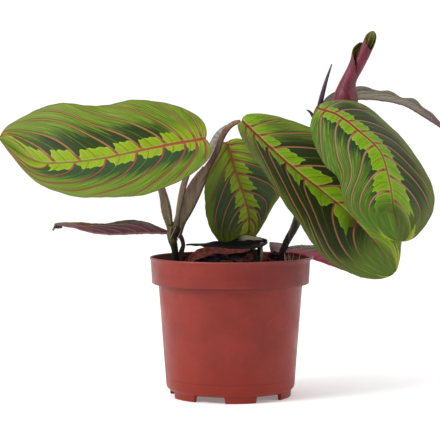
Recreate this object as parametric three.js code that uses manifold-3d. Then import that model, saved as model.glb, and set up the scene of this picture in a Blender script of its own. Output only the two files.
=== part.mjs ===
// A prayer plant in a thin plastic nursery pot.
// Millimetres, +Z up. The origin is on the standing plane, below the pot's axis. The plant faces -Y.
import * as THREE from "three";
import { mergeVertices } from "three/addons/utils/BufferGeometryUtils.js";
import Module from "manifold-3d";

const clearance = 0.3; // between pieces that touch

const pot = {
  height: 104,
  wall: 1.5,
  rimRadius: 60.2,
  rimEdge: 1.2, // how far down the lip is rounded
  rimBevel: 0.45, // how far in the lip is rounded
  bandHeight: 19.5,
  bandRadius: 58.7, // at the band's lower edge
  ledgeSlope: 1, // how far the ledge under the band drops
  ledgeBevel: 0.9,
  shoulderRadius: 53.7, // of the tapered wall, just below the band
  heelRadius: 48.1, // of the tapered wall, at its foot
  heelHeight: 8.4,
  heelBevel: 2.4, // how far down the heel is rounded
  heelInset: 1.3, // how far in the heel is rounded
  ringRadius: 45.6, // of the standing ring
  ringWidth: 3,
  ringHeight: 5,
  ringBevel: 0.5,
  feet: 6,
  footSpan: 30, // degrees of each foot, and of each slot between two feet
  firstFoot: -80.5, // degrees from +X
  drainRadius: 4.5,
  drainCircle: 35,
  drainSides: 14,
  sides: 72,
};

const soil = {
  edgeHeight: 97.5,
  crownHeight: 101,
  lump: 0.9, // height of the crumbs
  middle: 1, // radius of the first ring, below
  sides: 48,
  rings: 9,
};

const buried = 74; // height of the stems' lower ends

const blade = {
  thickness: 0.8,
  ribDepth: 1.1, // of the midrib, below the blade at its base
  tipWidth: 0.5,
  // a larger fullness keeps a blade wide for longer towards its tip, a smaller roundness makes the tip blunter
  tip: { fullness: 2.2, roundness: 0.6 },
  swell: 0.07, // how far each half bulges, as a share of its width
  waveShift: 0.4, // of the left margin's waves against the right margin's, in turns
  columns: [-1, -0.7, -0.36, 0, 0.36, 0.7, 1],
};

const stalkSides = 8;

const roughness = { plastic: 0.5, peat: 0.95, leaf: 0.45, stalk: 0.5, dryLeaf: 0.6 };

// Each leaf: its midrib from base to tip, and the spokes that run from the midrib to the left and the right
// margin where the outline is at its full width. The left and right are those of a leaf seen from above.
const leaves = [
  {
    name: "leaf_left_large",
    colour: 0x5c8a2a,
    stations: 22,
    widest: 0.46,
    tip: { fullness: 3.2, roundness: 0.9 },
    rib: [[-18, -32, 192], [-42, -37, 188], [-67, -40, 183], [-91, -40, 178], [-116, -38, 175],
      [-142, -32, 176], [-169, -22, 192]],
    left: [[23, -17, -27], [7, -26, -32], [4, -28, -27], [-0.5, -25, -20.3], [-8, -7, -3.5]],
    right: [[8, 15, 35], [-6, 19, 38], [-7, 18, 37.5], [-8, 19.5, 46.8], [-12, 16, 42]],
    wave: { height: 0.9, count: 3.5, phase: 0.2 },
  },
  {
    name: "leaf_centre_large",
    colour: 0x4f8028,
    stations: 22,
    widest: 0.5,
    rib: [[8, -20, 205], [27, -30, 187], [46, -38, 170], [66, -42, 154], [85, -42, 138], [104, -40, 117],
      [119, -38, 95]],
    left: [[6, 10, 23], [18.5, 16, 27.5], [23.5, 14, 26], [28, 13, 25.5], [20, 8, 17]],
    right: [[-18, -24, -4], [-14, -22, -12], [-18.5, -18, -20], [-29, -12, -26], [-28, -9, -28]],
    wave: { height: 0.9, count: 3, phase: 0.55 },
  },
  {
    name: "leaf_right_front",
    colour: 0x54852c,
    stations: 22,
    widest: 0.55,
    rib: [[63, -38, 214], [77, -44, 209], [91, -52, 198], [106, -60, 183], [112, -66, 162],
      [115, -70, 141], [119, -70, 120]],
    left: [[2, 26, 13], [13, 28, 15.5], [17.5, 32, 10.5], [35.5, 18, -2], [29, 9, -9]],
    right: [[-24, -18, -26], [-24, -15, -30], [-29, -8, -20.5], [-38, -4, -5], [-38, -2, -1]],
    wave: { height: 0.8, count: 3, phase: 0.1 },
  },
  {
    name: "leaf_centre_back",
    colour: 0x47752a,
    stations: 18,
    widest: 0.45,
    rib: [[-3, 22, 189], [1, 26, 177], [5, 29, 164], [10, 32, 149], [14, 34, 134], [14, 35, 119],
      [9, 36, 104]],
    left: [[18, -8, 14], [23, -10, 11], [31, -8, 12], [18, -6, 10], [12, -4, 8]],
    right: [[-13, -11, 4], [-22, -15, -6], [-29, -14, -1], [-36, -12, -2], [-34, -9, -4]],
    wave: { height: 0.8, count: 2.5, phase: 0.3 },
  },
  {
    name: "leaf_right_back",
    colour: 0x8a8478,
    stations: 18,
    widest: 0.45,
    rib: [[69, 16, 216], [85, 28, 221], [101, 36, 222.5], [117, 42, 221.5], [134, 46, 217.8],
      [150, 50, 209.2], [168, 54, 197.5]],
    left: [[-8, 18, 2], [-6, 22, 3], [-5, 25, 3], [-4, 24, 3], [-2, 20, 2]],
    right: [[6, -18, 9], [8, -24, 7], [8, -24, 3.5], [6, -24, 2.5], [4, -20, 2]],
    wave: { height: 1.2, count: 5, phase: 0 },
  },
  {
    name: "leaf_left_low",
    colour: 0x5a3040,
    stations: 14,
    widest: 0.35,
    rib: [[-46.8, -4, 122.4], [-62, 2, 122], [-77, 6, 121], [-91, 8, 120.6], [-105, 8, 122.2],
      [-118, 7, 125.8], [-132, 6, 127.8]],
    left: [[3, -8, 3], [2, -11, 9], [0, -10, 10], [1, -8, 6], [0, -6, 5]],
    right: [[2, 8, 3], [2, 11, 8], [0, 11, 8], [2, 8, 5], [0, 6, 4]],
    wave: { height: 0.8, count: 2.5, phase: 0.4 },
  },
  {
    name: "leaf_right_low",
    colour: 0x7a3045,
    stations: 14,
    widest: 0.45,
    rib: [[35, 32, 107], [43.5, 45, 106], [55, 52, 102], [68, 56, 97.5], [80, 58, 93], [92, 58, 88.5],
      [103, 56, 84]],
    left: [[-6, 15, 4], [-6, 17, 4], [-2, 18, 5], [2, 17, 6], [2, 14, 5]],
    right: [[8, -18, 6], [6, -22, 7.5], [3, -25, 12.5], [2, -25, 11], [1, -20, 7]],
    wave: { height: 0.8, count: 2.5, phase: 0.7 },
    stalk: { points: [[34.6, 28, buried, 2], [34.6, 28, 98, 2.2], [34.4, 29, 103.5, 3, 2.2],
      [34.4, 30.4, 108.5, 4.4, 2.4], [34.8, 31.4, 112.4, 5, 1.4]] },
  },
  {
    name: "leaf_left_hidden",
    colour: 0x47752a,
    stations: 14,
    widest: 0.45,
    rib: [[-57, 9, 166], [-66, 14, 174], [-77, 20, 180], [-90, 26, 182], [-104, 32, 179], [-117, 37, 172],
      [-129, 41, 162]],
    left: [[2, -14, -6], [1, -17, -8], [-1, -18, -9], [-3, -16, -9], [-3, -12, -7]],
    right: [[8, 18, 4], [8, 20, 3], [6, 21, 2], [4, 19, 0], [3, 14, 0]],
    wave: { height: 0.8, count: 2.5, phase: 0.2 },
  },
];

const rolledLeaf = {
  name: "leaf_rolled",
  colour: 0x7a2f48,
  axis: [[77, 1, 208.6], [83, -1, 221], [88.6, -2, 235], [95.8, -3, 250], [105.8, -3, 270]],
  radius: [3.5, 9.2, 6.9, 6.5, 5],
  width: [0.5, 1, 0.96, 0.8, 0.42], // share of the full roll that the blade still makes
  turn: 285, // degrees from the middle of the blade to either margin
  seam: 35, // degrees, the side that the middle of the blade faces
  step: 2, // between two layers
  stations: 13,
  columns: 24,
};

const spike = {
  name: "leaf_spike",
  colour: 0x3c2230,
  points: [[64.6, 2.5, 207.6, 1.5], [67.6, 2.5, 221, 1.7], [71.2, 2.5, 234.5, 1.1], [75.4, 2.5, 247.4, 0.3]],
};

// Stems and leaf stalks: points along the middle, each with half the width across the view and, where the
// section isn't round, half the depth.
const leftShoot = {
  name: "left_shoot",
  colour: 0x5d5a35,
  tubes: [
    { points: [[-41, -6, buried, 2.4], [-40.5, -6, 100, 2.4], [-41, -6, 110, 2.5], [-42, -6, 117, 3.6],
      [-41.5, -5, 122, 4.6], [-41, -5, 127, 4.4]] }, // stem and its joint
    { points: [[-36, -3, buried, 1.3], [-36, -3, 101, 1.3], [-34.5, -3, 108, 1.3], [-34.5, -3, 113, 1.3],
      [-37, -4, 119, 1.8], [-40, -5, 122, 2]] }, // thin side stem
    { points: [[-42, -4, 120, 3], [-45, -3, 127, 2.4, 2.4], [-47.5, -2, 138, 3.8, 2.6],
      [-49.5, 1, 148, 3, 2.4], [-53, 6, 159, 2.2], [-56, 8.4, 164.8, 1.6]] }, // stalk of the hidden leaf
    { points: [[-41, -7, 122, 2.6], [-39.5, -8, 132, 1.8], [-38, -9, 142, 2], [-35, -12, 156, 2.6, 2],
      [-31, -17, 168, 2.2], [-24, -25, 181, 1.9], [-18.5, -30, 190, 1.6]] }, // stalk of the large left leaf
    { points: [[-40, -4, 120, 3.4], [-37.5, -4, 130, 4.4, 2.8], [-33, -4, 140, 5.4, 3],
      [-28.5, -4, 150, 5.8, 3], [-23.5, -4, 160, 5, 2.8],
      [-18.5, -4, 169, 3.4, 2.4]] }, // sheath of the centre leaf
    { points: [[-26, -5, 155, 2.2], [-17, -6, 170, 2.2], [-9.5, -8, 183, 2.2], [-5, -10, 192.6, 2.2],
      [-1, -14, 199.4, 2.2], [3.4, -17.5, 203.4, 1.9], [6.9, -19.4, 204.5, 1.5]] }, // its stalk
    { points: [[-19, -7, 176, 1.2, 0.8], [-14.6, -8, 184, 3, 0.6], [-11.5, -9.4, 191, 3.2, 0.5],
      [-7.8, -11, 197, 2.3, 0.5], [-4.2, -12.4, 203, 0.6, 0.4]] }, // thin wing of the sheath
    { points: [[-27, 0, 152, 2], [-24, 9, 160, 2], [-17.5, 19, 171, 1.9], [-10, 23, 181.5, 1.7],
      [-4.7, 23.6, 188.8, 1.3]] }, // stalk of the back leaf
  ],
};

const rightShoot = {
  name: "right_shoot",
  colour: 0x4a4a30,
  tubes: [
    { points: [[34, 6, buried, 2.3], [36.5, 6, 98, 2.3], [39.5, 6, 108, 2.3], [43, 6, 116, 2.5],
      [47, 6, 123, 2.8], [50, 6, 130, 3.3], [52, 5, 138, 3.2], [53, 5, 147, 2.4], [55.5, 4, 169, 2.2],
      [59, 3, 190, 2.2], [62.5, 2, 203, 2.6]] }, // stem
    { points: [[61.5, 3, 200, 2.6], [63, -3, 206, 2.2], [64, -14, 209.4, 1.9], [63.6, -26, 211.4, 1.8],
      [62.6, -36.4, 212.6, 1.4]], across: [1, 0, 0] }, // stalk of the front leaf
    { points: [[62, 3, 201, 2.6], [63.5, 7, 209, 2.2], [66, 12, 215, 1.8],
      [68.4, 15.4, 215.8, 1.6]] }, // stalk of the back leaf
    { points: [[62, 2, 202, 2.6], [67, 2, 203.5, 2.2], [73, 1.4, 206, 2],
      [77, 1, 209, 1.9]] }, // stalk of the rolled leaf
  ],
};

const lyingLeaf = {
  name: "leaf_soil_dark",
  colour: 0x1c1a1a,
  stations: 14,
  widest: 0.4,
  rib: [[27.5, 6, 115], [19, 4, 113.2], [9, 1, 112.2], [-2, -1, 112], [-13, -3, 112.3], [-23, -6, 113.2],
    [-33, -9, 113.8]],
  left: [[4, -14, -1.5], [3, -18, -2.5], [0, -18, -1.5], [-1, -13, -0.8], [-1, -8, 0]],
  right: [[3, 9, 3], [0, 11, 6.8], [0, 14, 3], [-1, 12, 1], [-1, 9, 0]],
  wave: { height: 1.1, count: 3, phase: 0.3 },
  stalk: { points: [[21.5, -7, buried, 2.5], [21.5, -7, 100, 2.6], [21.6, -6, 106, 2.7, 2],
    [22.5, -1, 111.6, 1.8, 1.2], [24, 3.4, 113.8, 1.4, 1]] },
};

const driedLeaf = {
  name: "leaf_dried",
  colour: 0x5a3226,
  stations: 14,
  widest: 0.4,
  rib: [[-29.5, -29, 103], [-26.5, -29.5, 107.6], [-21.5, -30, 110.8], [-14.5, -30, 111.6], [-7, -30, 111],
    [1, -30, 110.3], [8, -30, 110.3], [14, -30, 110.8]],
  left: [[0, -3, -5], [1, -4, -5], [1, -4, -2.6], [0, -3, -1.8], [0, -3, -1.6]],
  right: [[0, 3, -1], [1, 3, 0.5], [1, 3, 0.8], [0, 3, 0.8], [0, 3, 0.5]],
  wave: { height: 0.5, count: 3, phase: 0 },
  stalk: { points: [[-31, -28.5, buried, 1.2], [-31, -28.5, 97.5, 1.2], [-29.3, -29, 104, 1.2, 0.9]] },
};

// A smooth curve through evenly spaced points, read at t from 0 to 1.
function curveAt(points, t) {
  const last = points.length - 1;
  const place = Math.min(Math.max(t, 0), 1) * last;
  const i = Math.min(Math.floor(place), last - 1);
  const u = place - i;
  const at = (k) => points[Math.min(Math.max(k, 0), last)];
  const mirrored = (end, next) => end.map((c, n) => 2 * c - next[n]);
  const before = i > 0 ? at(i - 1) : mirrored(at(0), at(1));
  const after = i + 2 <= last ? at(i + 2) : mirrored(at(last), at(last - 1));
  return at(i).map((b, n) => {
    const [a, c, d] = [before[n], at(i + 1)[n], after[n]];
    const [quadratic, cubic] = [2 * a - 5 * b + 4 * c - d, 3 * b - a - 3 * c + d];
    return 0.5 * (2 * b + (c - a) * u + quadratic * u * u + cubic * u ** 3);
  });
}

const vectorAt = (points, t) => new THREE.Vector3(...curveAt(points, t).slice(0, 3));

// The curve's direction at t, from a short step on either side of it.
function directionAt(points, t) {
  const step = 0.01;
  const [ahead, behind] = [vectorAt(points, Math.min(t + step, 1)), vectorAt(points, Math.max(t - step, 0))];
  return ahead.sub(behind).normalize();
}

// Share of its full half width that a leaf has at t from 0, its base, to 1, its tip.
function outline(t, { widest, tip = blade.tip }) {
  if (t < widest) return Math.sqrt(1 - (1 - t / widest) ** 2);
  return (1 - ((t - widest) / (1 - widest)) ** tip.fullness) ** tip.roundness;
}

// Stations along a leaf, closer together towards its two ends.
const stationsOf = (count) =>
  Array.from({ length: count }, (_, i) => (1 - Math.cos((Math.PI * i) / (count - 1))) / 2);

// The middle of the blade's thickness, at s from -1, the left margin, through the midrib to 1, the right one.
function bladePoint(leaf, s, t) {
  const rib = vectorAt(leaf.rib, t);
  const tangent = directionAt(leaf.rib, t);
  const [left, right] = [vectorAt(leaf.left, t), vectorAt(leaf.right, t)];
  const spoke = s < 0 ? left : right;
  const up = right.clone().sub(left).cross(tangent).normalize();
  const u = Math.abs(s);
  const { height, count, phase } = leaf.wave;
  const turns = count * t + phase + (s < 0 ? blade.waveShift : 0);
  const wave = height * u * u * Math.sin(Math.PI * t) * Math.sin(2 * Math.PI * turns);
  const crown = blade.swell * spoke.length() * u * (1 - u);
  const full = outline(t, leaf);
  const reach = full + blade.tipWidth / spoke.length();
  return rib.addScaledVector(spoke, u * reach).addScaledVector(up, (wave + crown) * full);
}

// Two grids of points, the upper and the lower face, closed along their edges.
function sheet(upper, lower) {
  const rows = upper.length;
  const columns = upper[0].length;
  const points = [...upper.flat(), ...lower.flat()];
  const at = (side, i, j) => side * rows * columns + i * columns + j;
  const faces = [];
  for (let i = 0; i < rows - 1; i++)
    for (let j = 0; j < columns - 1; j++)
      for (const side of [0, 1]) {
        const [a, b, c, d] = [at(side, i, j), at(side, i, j + 1), at(side, i + 1, j + 1), at(side, i + 1, j)];
        faces.push(...(side ? [a, c, b, a, d, c] : [a, b, c, a, c, d]));
      }
  const border = [];
  for (let j = 0; j < columns - 1; j++) border.push([0, j]);
  for (let i = 0; i < rows - 1; i++) border.push([i, columns - 1]);
  for (let j = columns - 1; j > 0; j--) border.push([rows - 1, j]);
  for (let i = rows - 1; i > 0; i--) border.push([i, 0]);
  border.forEach(([i, j], k) => {
    const [m, n] = border[(k + 1) % border.length];
    faces.push(at(0, i, j), at(1, i, j), at(1, m, n), at(0, i, j), at(1, m, n), at(0, m, n));
  });
  return closed(points, faces);
}

// Rings of points one after another, with a flat end on the first and the last.
function loft(rings) {
  const sides = rings[0].length;
  const points = rings.flat();
  const faces = [];
  for (let i = 0; i < rings.length - 1; i++)
    for (let k = 0; k < sides; k++) {
      const [a, b] = [i * sides + k, i * sides + ((k + 1) % sides)];
      faces.push(a, b, b + sides, a, b + sides, a + sides);
    }
  for (const [ring, flip] of [[0, true], [rings.length - 1, false]]) {
    const middle = points.length;
    points.push(rings[ring].reduce((sum, p) => sum.add(p), new THREE.Vector3()).divideScalar(sides));
    for (let k = 0; k < sides; k++) {
      const [a, b] = [ring * sides + k, ring * sides + ((k + 1) % sides)];
      faces.push(middle, ...(flip ? [b, a] : [a, b]));
    }
  }
  return closed(points, faces);
}

// A closed geometry with its faces turned outwards.
function closed(points, faces) {
  let volume = 0;
  for (let i = 0; i < faces.length; i += 3) {
    const [a, b, c] = [points[faces[i]], points[faces[i + 1]], points[faces[i + 2]]];
    volume += a.dot(b.clone().cross(c));
  }
  if (volume < 0) faces.reverse();
  const geometry = new THREE.BufferGeometry().setFromPoints(points);
  geometry.setIndex(faces);
  return geometry;
}

function bladeGeometry(leaf) {
  const grid = stationsOf(leaf.stations).map((t) => blade.columns.map((s) => bladePoint(leaf, s, t)));
  const normals = gridNormals(grid);
  const middle = (blade.columns.length - 1) / 2;
  const offset = (i, j, amount) => grid[i][j].clone().addScaledVector(normals[i][j], amount);
  const upper = grid.map((row, i) => row.map((_, j) => offset(i, j, blade.thickness / 2)));
  const lower = grid.map((row, i) =>
    row.map((_, j) => {
      const rib = j === middle ? blade.ribDepth * (1 - i / (grid.length - 1)) : 0;
      return offset(i, j, -blade.thickness / 2 - rib);
    }),
  );
  return sheet(upper, lower);
}

function gridNormals(grid) {
  const rows = grid.length - 1;
  const columns = grid[0].length - 1;
  return grid.map((row, i) =>
    row.map((_, j) => {
      const across = grid[i][Math.min(j + 1, columns)].clone().sub(grid[i][Math.max(j - 1, 0)]);
      const along = grid[Math.min(i + 1, rows)][j].clone().sub(grid[Math.max(i - 1, 0)][j]);
      return across.cross(along).normalize();
    }),
  );
}

// A stem or stalk, and with extra the plain hole that it stands in.
function tube({ points, across = [0, 1, 0] }, extra = 0) {
  const steps = (points.length - 1) * 2;
  const row = points.map(([x, y, z, wide, deep = wide]) => [x, y, z, wide, deep]);
  const rings = [];
  for (let i = 0; i <= steps; i++) {
    const t = i / steps;
    const [x, y, z, wide, deep] = curveAt(row, t);
    const tangent = directionAt(row, t);
    const side = tangent.clone().cross(new THREE.Vector3(...across)).normalize();
    const depth = side.clone().cross(tangent).normalize();
    rings.push(
      Array.from({ length: stalkSides }, (_, k) => {
        const angle = (2 * Math.PI * k) / stalkSides;
        return new THREE.Vector3(x, y, z)
          .addScaledVector(side, (wide + extra) * Math.cos(angle))
          .addScaledVector(depth, (deep + extra) * Math.sin(angle));
      }),
    );
  }
  return loft(rings);
}

function rolledGeometry(leaf) {
  const grid = [];
  for (let i = 0; i < leaf.stations; i++) {
    const t = i / (leaf.stations - 1);
    const [radius] = curveAt(leaf.radius.map((r) => [r]), t);
    const [width] = curveAt(leaf.width.map((w) => [w]), t);
    const tangent = directionAt(leaf.axis, t);
    const side = new THREE.Vector3(0, 1, 0).cross(tangent).normalize();
    const depth = tangent.clone().cross(side);
    const row = [];
    for (let j = 0; j <= leaf.columns; j++) {
      const turned = (2 * j) / leaf.columns - 1;
      const angle = THREE.MathUtils.degToRad(leaf.seam + turned * leaf.turn * width);
      const layer = radius + (leaf.step * turned * leaf.turn * width) / 360;
      row.push(
        vectorAt(leaf.axis, t)
          .addScaledVector(side, layer * Math.cos(angle))
          .addScaledVector(depth, layer * Math.sin(angle)),
      );
    }
    grid.push(row);
  }
  const normals = gridNormals(grid);
  const shifted = (amount) =>
    grid.map((row, i) => row.map((p, j) => p.clone().addScaledVector(normals[i][j], amount)));
  return sheet(shifted(blade.thickness / 2), shifted(-blade.thickness / 2));
}

const wasm = await Module();
wasm.setup();

function solid(geometry) {
  const bare = geometry.clone();
  bare.deleteAttribute("normal");
  bare.deleteAttribute("uv");
  const merged = mergeVertices(bare, 1e-4);
  return new wasm.Manifold(
    new wasm.Mesh({
      numProp: 3,
      vertProperties: merged.getAttribute("position").array,
      triVerts: new Uint32Array(merged.index.array),
    }),
  );
}

function geometryOf(shape) {
  const made = shape.getMesh();
  const geometry = new THREE.BufferGeometry();
  geometry.setAttribute("position", new THREE.BufferAttribute(made.vertProperties, 3));
  geometry.setIndex(new THREE.BufferAttribute(made.triVerts, 1));
  return geometry;
}

const joined = (geometries) => geometryOf(geometries.map(solid).reduce((sum, s) => sum.add(s)));

const ledge = pot.height - pot.bandHeight;

const innerWall = {
  floor: pot.ringHeight + pot.wall,
  foot: pot.heelRadius - pot.wall - pot.heelInset, // where the wall meets the floor
  heel: pot.heelRadius - pot.wall,
  shoulder: pot.shoulderRadius - pot.wall,
  shoulderHeight: ledge - pot.ledgeBevel / 2,
  band: pot.bandRadius - pot.wall,
  bandHeight: ledge + pot.wall,
  lip: pot.rimRadius - pot.wall - pot.rimBevel, // just below the lip
};

function potGeometry() {
  const { height, rimRadius, rimEdge, rimBevel, bandRadius, ledgeBevel, heelRadius, heelHeight } = pot;
  const ringInner = pot.ringRadius - pot.ringWidth;
  const profile = [
    [0, pot.ringHeight],
    [ringInner, pot.ringHeight],
    [ringInner, 0],
    [pot.ringRadius - pot.ringBevel, 0],
    [pot.ringRadius, pot.ringHeight - pot.ringBevel],
    [heelRadius - pot.heelInset, heelHeight - pot.heelBevel],
    [heelRadius, heelHeight],
    [pot.shoulderRadius, ledge - ledgeBevel / 2 - pot.ledgeSlope],
    [bandRadius - ledgeBevel, ledge - ledgeBevel / 2],
    [bandRadius, ledge + ledgeBevel / 2],
    [rimRadius - rimBevel, height - 2 * rimEdge],
    [rimRadius, height - rimEdge],
    [rimRadius - rimBevel, height],
    [rimRadius - pot.wall, height],
    [innerWall.lip, height - rimEdge],
    [innerWall.band, innerWall.bandHeight],
    [innerWall.shoulder, innerWall.shoulderHeight],
    [innerWall.heel, heelHeight],
    [innerWall.foot, innerWall.floor],
    [0, innerWall.floor],
  ];
  const turned = new THREE.LatheGeometry(profile.map((p) => new THREE.Vector2(...p)), pot.sides);
  let shape = solid(turned.rotateX(Math.PI / 2));
  for (let i = 0; i < pot.feet; i++) {
    const middle = THREE.MathUtils.degToRad(pot.firstFoot + (360 / pot.feet) * (i + 0.5));
    shape = shape.subtract(solid(slotCutter(middle)));
    const drain = new THREE.CylinderGeometry(pot.drainRadius, pot.drainRadius, 4 * pot.wall, pot.drainSides);
    drain.rotateX(Math.PI / 2);
    drain.translate(pot.drainCircle * Math.cos(middle), pot.drainCircle * Math.sin(middle), pot.ringHeight);
    shape = shape.subtract(solid(drain));
  }
  return geometryOf(shape);
}

// The wedge that is cut away between two feet.
function slotCutter(middle) {
  const half = THREE.MathUtils.degToRad((360 / pot.feet - pot.footSpan) / 2);
  const margin = 1;
  const inner = pot.ringRadius - pot.ringWidth - margin;
  const outer = (pot.heelRadius + margin) / Math.cos(half);
  const corners = [[inner, -half], [outer, -half], [outer, half], [inner, half]];
  const shape = new THREE.Shape(
    corners.map(([r, a]) => new THREE.Vector2(r * Math.cos(middle + a), r * Math.sin(middle + a))),
  );
  const depth = pot.ringHeight + pot.ringBevel + margin;
  return new THREE.ExtrudeGeometry(shape, { depth, bevelEnabled: false }).translate(0, 0, -margin);
}

// Crumbs of peat: a mix of waves that never lines up.
function lumps(x, y) {
  return (
    Math.sin(0.61 * x + 1.3 * Math.sin(0.37 * y)) * Math.cos(0.53 * y + 0.9 * Math.sin(0.29 * x)) +
    0.6 * Math.sin(1.13 * x - 0.71 * y + 2) * Math.sin(0.83 * y + 0.47 * x)
  );
}

function soilGeometry() {
  const lipHeight = pot.height - pot.rimEdge;
  const slope = (innerWall.lip - innerWall.band) / (lipHeight - innerWall.bandHeight);
  const edge = innerWall.band + slope * (soil.edgeHeight - innerWall.bandHeight) - clearance;
  const side = [
    [soil.middle, innerWall.floor + clearance],
    [innerWall.foot - clearance, innerWall.floor + clearance],
    [innerWall.heel - clearance, pot.heelHeight + clearance],
    [innerWall.shoulder - clearance, innerWall.shoulderHeight + clearance],
    [innerWall.band - clearance, innerWall.bandHeight + clearance],
    [edge - clearance, soil.edgeHeight],
  ];
  const ringAt = (radius, height) =>
    Array.from({ length: soil.sides }, (_, k) => {
      const angle = (2 * Math.PI * (k + 0.5)) / soil.sides;
      const [x, y] = [radius * Math.cos(angle), radius * Math.sin(angle)];
      return new THREE.Vector3(x, y, height(x, y));
    });
  const rings = side.map(([radius, z]) => ringAt(radius, () => z));
  for (let i = soil.rings; i > 0; i--) {
    const share = i / (soil.rings + 1);
    const crown = soil.edgeHeight + (soil.crownHeight - soil.edgeHeight) * (1 - share ** 2);
    rings.push(ringAt(edge * share, (x, y) => crown + soil.lump * lumps(x, y)));
  }
  let shape = solid(loft(rings));
  const fromSoil = [...leaves, lyingLeaf, driedLeaf].filter((leaf) => leaf.stalk).map((leaf) => leaf.stalk);
  const stalks = [leftShoot.tubes[0], leftShoot.tubes[1], rightShoot.tubes[0], ...fromSoil];
  for (const stalk of stalks) {
    const [[x, y, z, ...half], ...upper] = stalk.points.slice(0, 3);
    const hole = { points: [[x, y, z - clearance, ...half], ...upper] };
    shape = shape.subtract(solid(tube(hole, 1.3 * clearance)));
  }
  return geometryOf(shape);
}

const plant = new THREE.Group();

function addPiece(name, geometry, colour, rough) {
  geometry.computeVertexNormals();
  const material = new THREE.MeshStandardMaterial({ color: colour, roughness: rough, metalness: 0 });
  const piece = new THREE.Mesh(geometry, material);
  piece.name = name;
  plant.add(piece);
}

addPiece("pot", potGeometry(), 0x9c4a40, roughness.plastic);
addPiece("soil", soilGeometry(), 0x3a2620, roughness.peat);
for (const shoot of [leftShoot, rightShoot]) {
  const tubes = shoot.tubes.map((stalk) => tube(stalk));
  addPiece(shoot.name, joined(tubes), shoot.colour, roughness.stalk);
}
for (const leaf of leaves) {
  const geometry = bladeGeometry(leaf);
  const stalked = leaf.stalk ? joined([geometry, tube(leaf.stalk)]) : geometry;
  addPiece(leaf.name, stalked, leaf.colour, roughness.leaf);
}
for (const leaf of [lyingLeaf, driedLeaf]) {
  addPiece(leaf.name, joined([bladeGeometry(leaf), tube(leaf.stalk)]), leaf.colour, roughness.dryLeaf);
}
addPiece(rolledLeaf.name, rolledGeometry(rolledLeaf), rolledLeaf.colour, roughness.leaf);
addPiece(spike.name, tube(spike), spike.colour, roughness.stalk);

export default plant;
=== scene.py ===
import math
import random
from types import SimpleNamespace
import bpy
import bmesh
import numpy as np
from mathutils import Matrix, Vector, noise


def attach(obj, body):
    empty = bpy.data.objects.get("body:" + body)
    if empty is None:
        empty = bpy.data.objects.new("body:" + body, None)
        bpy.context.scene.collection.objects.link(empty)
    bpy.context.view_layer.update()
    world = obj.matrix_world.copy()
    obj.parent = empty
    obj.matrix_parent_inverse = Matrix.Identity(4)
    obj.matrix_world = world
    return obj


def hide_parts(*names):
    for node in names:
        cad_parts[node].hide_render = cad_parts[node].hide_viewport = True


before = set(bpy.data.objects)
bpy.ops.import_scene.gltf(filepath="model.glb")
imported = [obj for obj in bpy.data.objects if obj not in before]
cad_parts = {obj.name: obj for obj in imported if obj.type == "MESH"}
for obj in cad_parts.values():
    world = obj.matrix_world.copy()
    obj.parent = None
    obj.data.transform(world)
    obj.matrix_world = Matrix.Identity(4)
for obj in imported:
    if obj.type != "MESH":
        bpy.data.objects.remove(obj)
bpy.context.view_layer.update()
mm = 0.001

# the photograph's own height, distance and field of view
camera = {
    "place": (-7.8, -1265.0, 196.0),  # mm
    "pitch": 2.93,                    # degrees down
    "fieldOfView": 14.77,             # degrees
    "farEnd": 20,                     # m that it sees
}


def addCamera():
    data = bpy.data.cameras.new("plantCamera")
    data.sensor_fit = "HORIZONTAL"
    data.angle = math.radians(camera["fieldOfView"])
    data.clip_end = camera["farEnd"]
    placed = bpy.data.objects.new("plantCamera", data)
    placed.location = Vector(camera["place"]) * mm
    placed.rotation_euler = (math.radians(90 - camera["pitch"]), 0, 0)
    bpy.context.collection.objects.link(placed)
    bpy.context.scene.camera = placed


addCamera()


# helpers for meshes, which all work in mm

def unit(vectors):
    length = np.linalg.norm(vectors, axis=-1, keepdims=True)
    return vectors / np.maximum(length, 1e-9)


def curveAt(points, t):
    # a smooth curve through evenly spaced points, read at every t from 0 to 1
    points = np.asarray(points, float)
    if points.ndim == 1:
        return curveAt(points[:, None], t)[..., 0]
    padded = np.vstack([2 * points[0] - points[1], points, 2 * points[-1] - points[-2]])
    place = np.clip(np.asarray(t, float), 0, 1) * (len(points) - 1)
    first = np.minimum(place.astype(int), len(points) - 2)
    u = (place - first)[..., None]
    a, b, c, d = padded[first], padded[first + 1], padded[first + 2], padded[first + 3]
    bend = (2 * a - 5 * b + 4 * c - d) * u ** 2 + (3 * b - a - 3 * c + d) * u ** 3
    return 0.5 * (2 * b + (c - a) * u + bend)


def directionAt(points, t):
    step = 0.01
    along = curveAt(points, np.clip(t + step, 0, 1)) - curveAt(points, np.clip(t - step, 0, 1))
    return unit(along[..., :3])


def normalsOf(points):
    return unit(np.cross(np.gradient(points, axis=1), np.gradient(points, axis=0)))


def smoothStep(value, low, high):
    share = np.clip((value - low) / (high - low), 0, 1)
    return share * share * (3 - 2 * share)


def gridFaces(rows, columns, start=0, wrap=False):
    # quads between the points of a grid that are stored row after row
    across = columns if wrap else columns - 1
    i, j = np.meshgrid(np.arange(rows - 1), np.arange(across), indexing="ij")
    a = start + i * columns + j
    b = start + i * columns + (j + 1) % columns
    return np.stack([a, b, b + columns, a + columns], -1).reshape(-1, 4)


def addPiece(name, mesh, materials):
    for material in materials:
        mesh.materials.append(material)
    made = bpy.data.objects.new(name, mesh)
    bpy.context.collection.objects.link(made)
    return made


def shadeSmooth(mesh):
    mesh.polygons.foreach_set("use_smooth", np.ones(len(mesh.polygons), bool))
    mesh.update()


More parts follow.
